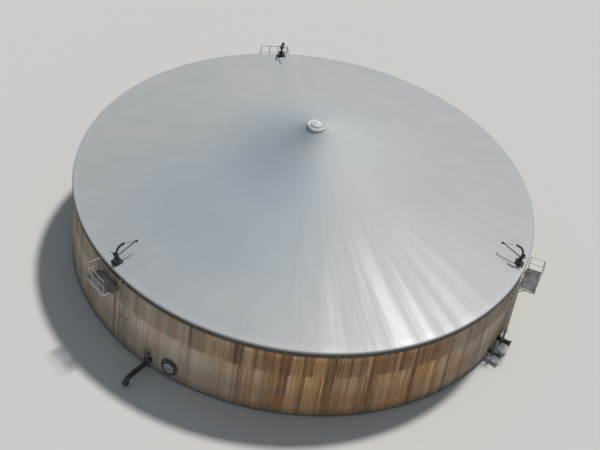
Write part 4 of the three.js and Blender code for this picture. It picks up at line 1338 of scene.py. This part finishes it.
def guard_rail(name, node, side, start, end, posts):
    """One bent rail with its posts and toe board, from one (x, y) on the deck to another."""
    here = outward(PLATFORMS[side])
    rails = Shape()
    start, end = Vector((*start, 0)), Vector((*end, 0))
    along = (end - start).normalized()
    heading = turn(math.degrees(math.atan2(along.y, along.x)), "Z")
    first, last = start + along * RAIL_TUBE * 0.5, end - along * RAIL_TUBE * 0.5

    def at(spot, height):
        return spot + Vector((0, 0, height))

    rails.tube(hoop(first, last, RAIL_FOOT, RAIL_AXIS, RAIL_BEND), RAIL_TUBE, 18, here)
    rails.tube([at(first, KNEE_HEIGHT), at(last, KNEE_HEIGHT)], RAIL_TUBE * 0.75, 16, here)
    for k in range(posts):
        spot = first.lerp(last, k / (posts - 1))
        if 0 < k < posts - 1:
            rails.tube([at(spot, RAIL_FOOT), at(spot, RAIL_AXIS)], RAIL_TUBE, 18, here)
        sleeve = [at(spot, KNEE_HEIGHT - SLEEVE_HALF), at(spot, KNEE_HEIGHT + SLEEVE_HALF)]
        rails.tube(sleeve, RAIL_TUBE + 0.004, 18, here)
        plate = here @ shift(*spot) @ heading
        rails.upright_block(0, (0.045, 0.028), RAIL_FOOT, RAIL_FOOT + 0.01, plate, 0.002)
        for x in (-0.034, 0.034):
            rails.hexagon(plate @ shift(x, 0, RAIL_FOOT + 0.01), 0.015, 0.010)
    length = (end - start).length
    toe = here @ shift(*start) @ heading
    rails.block((0, -TOE_HALF, TOE_LOW), (length, TOE_HALF, TOE_HIGH), toe, 0.002)
    made = rails.piece(name, galvanised, 35, slot="galvanised_steel")
    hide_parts(node)


for side in PLATFORMS:
    front = HALF_DECK - EDGE_LINE
    end_line = LADDER_SIDES[side] * front
    guard_rail(
        f"front_guard_rail_{side}", f"platform_{side}_front_rail", side,
        (-front, OUTER_LINE), (front, OUTER_LINE), 4,
    )
    guard_rail(
        f"end_guard_rail_{side}", f"platform_{side}_end_rail", side,
        (end_line, DECK_INNER + 0.15), (end_line, OUTER_LINE - 0.0493), 2,
    )

# Ladders lead up to the platforms. Each has flat-bar stiles, ribbed round rungs let into them every 280 mm
# and pairs of bolted wall ties, all galvanised. The stiles run up past the deck as handholds.
LADDER_OFFSET = 1.5 * FACET
LADDER_HALF = 0.225
STILE_INNER, STILE_OUTER = 15.09, 15.155
STILE_HALF = 0.0125
LADDER_FOOT = 0.2
TIE_HEIGHTS = (0.7, 2.45, 4.2)
TIE_PLATE = WALL_FACE + 0.01
RUNG_PITCH = 0.28
FIRST_RUNG = 0.35
RUNG_REACH = LADDER_HALF + 0.017
RUNG_RADIUS, RIB_RADIUS = 0.0145, 0.0158
RIBS, RIB_REACH = 17, 0.192


def wall_ladder(side):
    """Two stiles with their wall ties, and the ribbed rungs between them."""
    here = outward(PLATFORMS[side] + LADDER_SIDES[side] * LADDER_OFFSET)
    ladder = Shape()
    middle = (STILE_INNER + STILE_OUTER) / 2
    for x in (-LADDER_HALF, LADDER_HALF):
        low, high = (x - STILE_HALF, STILE_INNER, LADDER_FOOT), (x + STILE_HALF, STILE_OUTER, RAIL_TOP)
        ladder.block(low, high, here, 0.004)
        for z in TIE_HEIGHTS:
            low, high = (x - 0.005, WALL_FACE, z - 0.03), (x + 0.005, STILE_INNER + 0.004, z + 0.03)
            ladder.block(low, high, here, 0.002)
            ladder.block((x - 0.05, WALL_FACE, z - 0.06), (x + 0.05, TIE_PLATE, z + 0.06), here, 0.002)
            for offset in (-0.034, 0.034):
                for rise in (0.035, -0.035):
                    ladder.hexagon(facing_out(here, x + offset, TIE_PLATE, z + rise), 0.02, 0.013)
    rung = FIRST_RUNG
    while rung < DECK_TOP + 0.1:
        ladder.tube([(-RUNG_REACH, middle, rung), (RUNG_REACH, middle, rung)], RUNG_RADIUS, 14, here)
        for x in spaced(-RIB_REACH, RIB_REACH, RIBS):
            ladder.tube([(x - 0.004, middle, rung), (x + 0.004, middle, rung)], RIB_RADIUS, 14, here)
        rung += RUNG_PITCH
    made = ladder.piece(f"wall_ladder_{side}", galvanised, slot="galvanised_steel")
    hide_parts(f"ladder_{side}")


for side in PLATFORMS:
    wall_ladder(side)

# The manway is a steel neck through boards and wall near the foot, front left. A light galvanised cover with
# a bar handle is clamped to its flange by a bolted ring. Neck and ring have the dark coating of the pipes,
# and a rubber gasket shows between the flanges.
MANWAY_BORE = 0.45
NECK_RADIUS = 0.48
FLANGE_RADIUS = 0.58
COVER_RADIUS = 0.362
NECK_INNER, NECK_OUTER = 14.4, 14.98
FLANGE_BACK = 14.95
FLANGE_FACE = NECK_OUTER - 0.0015
GASKET_RADIUS = FLANGE_RADIUS - 0.012
COVER_BACK = NECK_OUTER + 0.002
CLAMP_FACE = NECK_OUTER + 0.0303
COVER_FACE = CLAMP_FACE + 0.0297
GRIP_HALF = 0.16
manway_steel = galvanised_steel("manway_steel", 1.12)
pipe_paint = coated_paint("pipe_paint", (0.022, 0.026, 0.029), 0.45, (0.22, 0.12, 0.07), 0.7)
here = facing_out(outward(MANWAY_AZIMUTH), 0, 0, MANWAY_HEIGHT)
neck = Shape()
neck.turned([
    (MANWAY_BORE, NECK_INNER), (NECK_RADIUS, NECK_INNER), (NECK_RADIUS, FLANGE_BACK - 0.002),
    (NECK_RADIUS + 0.004, FLANGE_BACK), (FLANGE_RADIUS - 0.003, FLANGE_BACK),
    (FLANGE_RADIUS, FLANGE_BACK + 0.003), (FLANGE_RADIUS, NECK_OUTER - 0.004),
    (FLANGE_RADIUS - 0.002, FLANGE_FACE), (MANWAY_BORE, FLANGE_FACE),
], 96, here)
made = neck.piece("manway_neck", pipe_paint, slot="pipe_paint")
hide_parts("manway_frame")
gasket = Shape()
gasket.turned([
    (MANWAY_BORE, NECK_OUTER - 0.0013), (GASKET_RADIUS, NECK_OUTER - 0.0013),
    (GASKET_RADIUS, NECK_OUTER + 0.0018), (MANWAY_BORE, NECK_OUTER + 0.0018),
], 96, here)
gasket.piece("manway_gasket", rubber_boot, slot="dark_sheet")
clamp_ring = Shape()
clamp_ring.turned([
    (COVER_RADIUS + 0.002, COVER_BACK), (FLANGE_RADIUS - 0.002, COVER_BACK),
    (FLANGE_RADIUS, COVER_BACK + 0.002), (FLANGE_RADIUS, CLAMP_FACE - 0.004),
    (FLANGE_RADIUS - 0.004, CLAMP_FACE), (COVER_RADIUS + 0.007, CLAMP_FACE),
    (COVER_RADIUS + 0.002, CLAMP_FACE - 0.004),
], 96, here)
clamp_ring.piece("manway_clamp_ring", pipe_paint, slot="pipe_paint")
cover = Shape()
cover.turned([
    (0, COVER_BACK), (COVER_RADIUS, COVER_BACK), (COVER_RADIUS, CLAMP_FACE + 0.004),
    (COVER_RADIUS - 0.007, CLAMP_FACE + 0.026), (COVER_RADIUS - 0.013, CLAMP_FACE + 0.0295), (0, COVER_FACE),
], 96, here)
grip_ends = Vector((-GRIP_HALF, 0, 0)), Vector((GRIP_HALF, 0, 0))
cover.tube(hoop(*grip_ends, COVER_FACE - 0.004, COVER_FACE + 0.067, 0.03), 0.0125, 16, here)
for x in (-GRIP_HALF, GRIP_HALF):
    cover.turned([
        (0, COVER_FACE - 0.001), (0.026, COVER_FACE - 0.001),
        (0.018, COVER_FACE + 0.008), (0, COVER_FACE + 0.008),
    ], 20, here @ shift(x, 0, 0))
made = cover.piece("manway_blank_cover", manway_steel, slot="manway_steel")
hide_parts("manway_cover")
manway_bolts = Shape()
for place in (here @ shift(0, 0, CLAMP_FACE), here @ shift(0, 0, FLANGE_BACK) @ turn(180, "X")):
    bolt_circle(manway_bolts, place, radius=0.53, count=24, size=0.036, start=7.5)
manway_bolts.piece("manway_bolts", zinc_bolts, slot="galvanised_steel")

# Three pipe connections stand at the foot of the wall: a steel sleeve through the wall, a knife-gate valve
# between bolted flanges with a yoke, rising spindle and handwheel, and a pipe with a blank flange. The drain
# runs further out and bends down. Cast and welded steel in a dark satin coating.
PIPE_RADIUS = 0.16
PIPE_FLANGE = 0.225
FLANGE_PLATE = 0.028
FLANGE_BOLTS = 12
BOLT_RING = 0.198
WELD_NECK = 0.014
NECK_TAPER = 0.03
VALVE_FIRST = CLADDING_FACE + 0.26
VALVE_END = VALVE_FIRST + 0.134
STUB_END = VALVE_END + 0.50
STUB_NECK = STUB_END - 0.054
DRAIN_RUN = 1.5
BEND_RADIUS = 0.305
GATE_HALF = 0.243
BODY_HALF = 0.0385
BODY_TOP = 0.27
BONNET_HALF = BODY_HALF + 0.0001
BONNET_LOW, BONNET_TOP = 0.286, 0.38
BONNET_BOLT_HEIGHT = 0.333
BONNET_BOLT_PLACES = (-0.21, -0.13, 0.0, 0.13, 0.21)
YOKE_X, YOKE_FOOT, YOKE_TOP = 0.08, 0.376, 0.82
WHEEL_HEIGHT = 0.88
WHEEL_RADIUS = 0.2
WHEEL_RIM = (0.017, 0.014)
WHEEL_SPOKES = 5
SPINDLE_CORE, SPINDLE_THREAD = 0.0155, 0.0190
THREAD_START, THREAD_PITCH, THREADS = 0.425, 0.0136, 36
SPINDLE_TOP = 0.9275


def pipe_flange(valve, place, start):
    """One flange plate on the local Z axis of a place, from a distance along it."""
    end = start + FLANGE_PLATE
    valve.turned([
        (0, start), (PIPE_FLANGE - 0.003, start), (PIPE_FLANGE, start + 0.003), (PIPE_FLANGE, end - 0.0035),
        (PIPE_FLANGE - 0.003, end - FIT), (0, end - FIT),
    ], 56, place)


def flange_bolts(bolts, place, height, downwards=False):
    """Bolt heads on one face of a flange, at a distance along local Z of a place."""
    spot = place @ shift(0, 0, height)
    if downwards:
        spot = spot @ turn(180, "X")
    bolt_circle(bolts, spot, BOLT_RING, FLANGE_BOLTS, size=0.030, start=15)


def drain_outlet(valve, azimuth, along, height):
    """The drain's pipe runs out past two welds and a pair of lugs, and bends down to its mouth."""
    bend_from = VALVE_END + DRAIN_RUN
    line = [(0, VALVE_END - 0.002, height), (0, VALVE_END + NECK_TAPER, height)]
    for run, down in quarter_turn(12):
        line.append((0, bend_from + BEND_RADIUS * run, height - BEND_RADIUS * down))
    widths = [PIPE_RADIUS + WELD_NECK] + [PIPE_RADIUS] * (len(line) - 1)
    valve.tube(line, widths, 48, outward(azimuth))
    for weld in (bend_from, (VALVE_END + bend_from) / 2):
        valve.turned([
            (PIPE_RADIUS - 0.002, weld - 0.007), (PIPE_RADIUS + 0.003, weld - 0.004),
            (PIPE_RADIUS + 0.003, weld + 0.004), (PIPE_RADIUS - 0.002, weld + 0.007),
        ], 48, along)
    lugs = outward(azimuth) @ shift(0, bend_from - 0.5, height)
    for x in (-0.1, 0.1):
        valve.upright_block(x, (0.006, 0.04), PIPE_RADIUS - 0.04, PIPE_RADIUS + 0.05, lugs)
    return outward(azimuth) @ shift(0, bend_from + BEND_RADIUS, height - BEND_RADIUS) @ turn(180, "X")


def knife_gate(valve, bolts, upright):
    """The valve's flat body and bonnet, its yoke, gland, spindle nut and handwheel, and the spindle."""

    def stacked(*profile):
        valve.turned([(0, profile[0][1]), *profile, (0, profile[-1][1])], 24, upright)

    valve.upright_block(0, (GATE_HALF, BODY_HALF), -GATE_HALF, BODY_TOP, upright, 0.012)
    valve.upright_block(0, (0.22, 0.030), BODY_TOP - 0.002, BONNET_LOW + 0.002, upright, 0.002)
    valve.upright_block(0, (0.244, BONNET_HALF), BONNET_LOW, BONNET_TOP, upright, 0.008)
    for x in BONNET_BOLT_PLACES:
        for way in (-1, 1):
            spot = upright @ shift(x, way * BONNET_HALF, BONNET_BOLT_HEIGHT) @ turn(-90 * way, "X")
            bolts.hexagon(spot, 0.024, 0.015)
    for x in (-YOKE_X, YOKE_X):
        valve.upright_block(x, (0.012, 0.024), YOKE_FOOT, YOKE_TOP - 0.01, upright)
        valve.upright_block(x, (0.026, 0.03), YOKE_FOOT + 0.003, YOKE_FOOT + 0.015, upright, 0.002)
    valve.upright_block(0, (0.092, 0.024), YOKE_TOP - 0.036, YOKE_TOP, upright)
    stacked((0.042, YOKE_TOP - 0.002), (0.042, YOKE_TOP + 0.026), (0.033, YOKE_TOP + 0.04))
    stacked((0.038, YOKE_FOOT), (0.032, THREAD_START))
    stacked(
        (0.036, WHEEL_HEIGHT - 0.022), (0.036, WHEEL_HEIGHT + 0.016), (0.026, WHEEL_HEIGHT + 0.024),
    )
    rim = [round_point(1.0, angle) for angle in angles(10)]
    valve.turned([
        (WHEEL_RADIUS + WHEEL_RIM[0] * x, WHEEL_HEIGHT + WHEEL_RIM[1] * y) for x, y, _ in rim
    ], 48, upright)
    spoke = [(0.03, 0, WHEEL_HEIGHT - 0.008), (0.11, 0, WHEEL_HEIGHT - 0.003), (0.19, 0, WHEEL_HEIGHT)]
    for angle in angles(WHEEL_SPOKES):
        valve.tube(spoke, [0.014, 0.010, 0.012], 10, upright @ turn(angle, "Z"))
    spindle = [(0, BONNET_TOP)]
    for k in range(THREADS):
        foot = THREAD_START + THREAD_PITCH * k
        spindle += [
            (SPINDLE_CORE, foot), (SPINDLE_THREAD, foot + 0.0045), (SPINDLE_THREAD, foot + 0.0075),
            (SPINDLE_CORE, foot + 0.012),
        ]
    spindle += [(SPINDLE_CORE, SPINDLE_TOP - 0.0075), (0.011, SPINDLE_TOP), (0, SPINDLE_TOP)]
    bolts.turned(spindle, 16, upright)


for name, (azimuth, height) in PIPES.items():
    along = facing_out(outward(azimuth), 0, 0, height)
    valve = Shape()
    bolts = Shape()
    valve.turned([
        (0, NECK_INNER), (PIPE_RADIUS - 0.004, NECK_INNER), (PIPE_RADIUS, NECK_INNER + 0.004),
        (PIPE_RADIUS, VALVE_FIRST - NECK_TAPER), (PIPE_RADIUS + WELD_NECK, VALVE_FIRST), (0, VALVE_FIRST),
    ], 48, along)
    pipe_flange(valve, along, VALVE_FIRST)
    pipe_flange(valve, along, VALVE_END - FLANGE_PLATE)
    flange_bolts(bolts, along, VALVE_FIRST, downwards=True)
    flange_bolts(bolts, along, VALVE_END)
    if name == "drain":
        mouth, end = drain_outlet(valve, azimuth, along, height), 2 * FLANGE_PLATE
    else:
        mouth, end = along, STUB_END
        valve.turned([
            (0, VALVE_END - 0.002), (PIPE_RADIUS + WELD_NECK, VALVE_END - 0.002),
            (PIPE_RADIUS, VALVE_END + NECK_TAPER), (PIPE_RADIUS, STUB_NECK - 0.031),
            (PIPE_RADIUS + WELD_NECK, STUB_NECK), (0, STUB_NECK),
        ], 48, along)
    pipe_flange(valve, mouth, end - 2 * FLANGE_PLATE)
    pipe_flange(valve, mouth, end - FLANGE_PLATE)
    flange_bolts(bolts, mouth, end)
    flange_bolts(bolts, mouth, end - 2 * FLANGE_PLATE, downwards=True)
    knife_gate(valve, bolts, outward(azimuth) @ shift(0, (VALVE_FIRST + VALVE_END) / 2, height))
    made = valve.piece(f"{name}_gate_valve", pipe_paint, slot="pipe_paint")
    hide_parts(f"{name}_valve")
    bolts.piece(f"{name}_valve_bolts_and_spindle", zinc_bolts, slot="galvanised_steel")
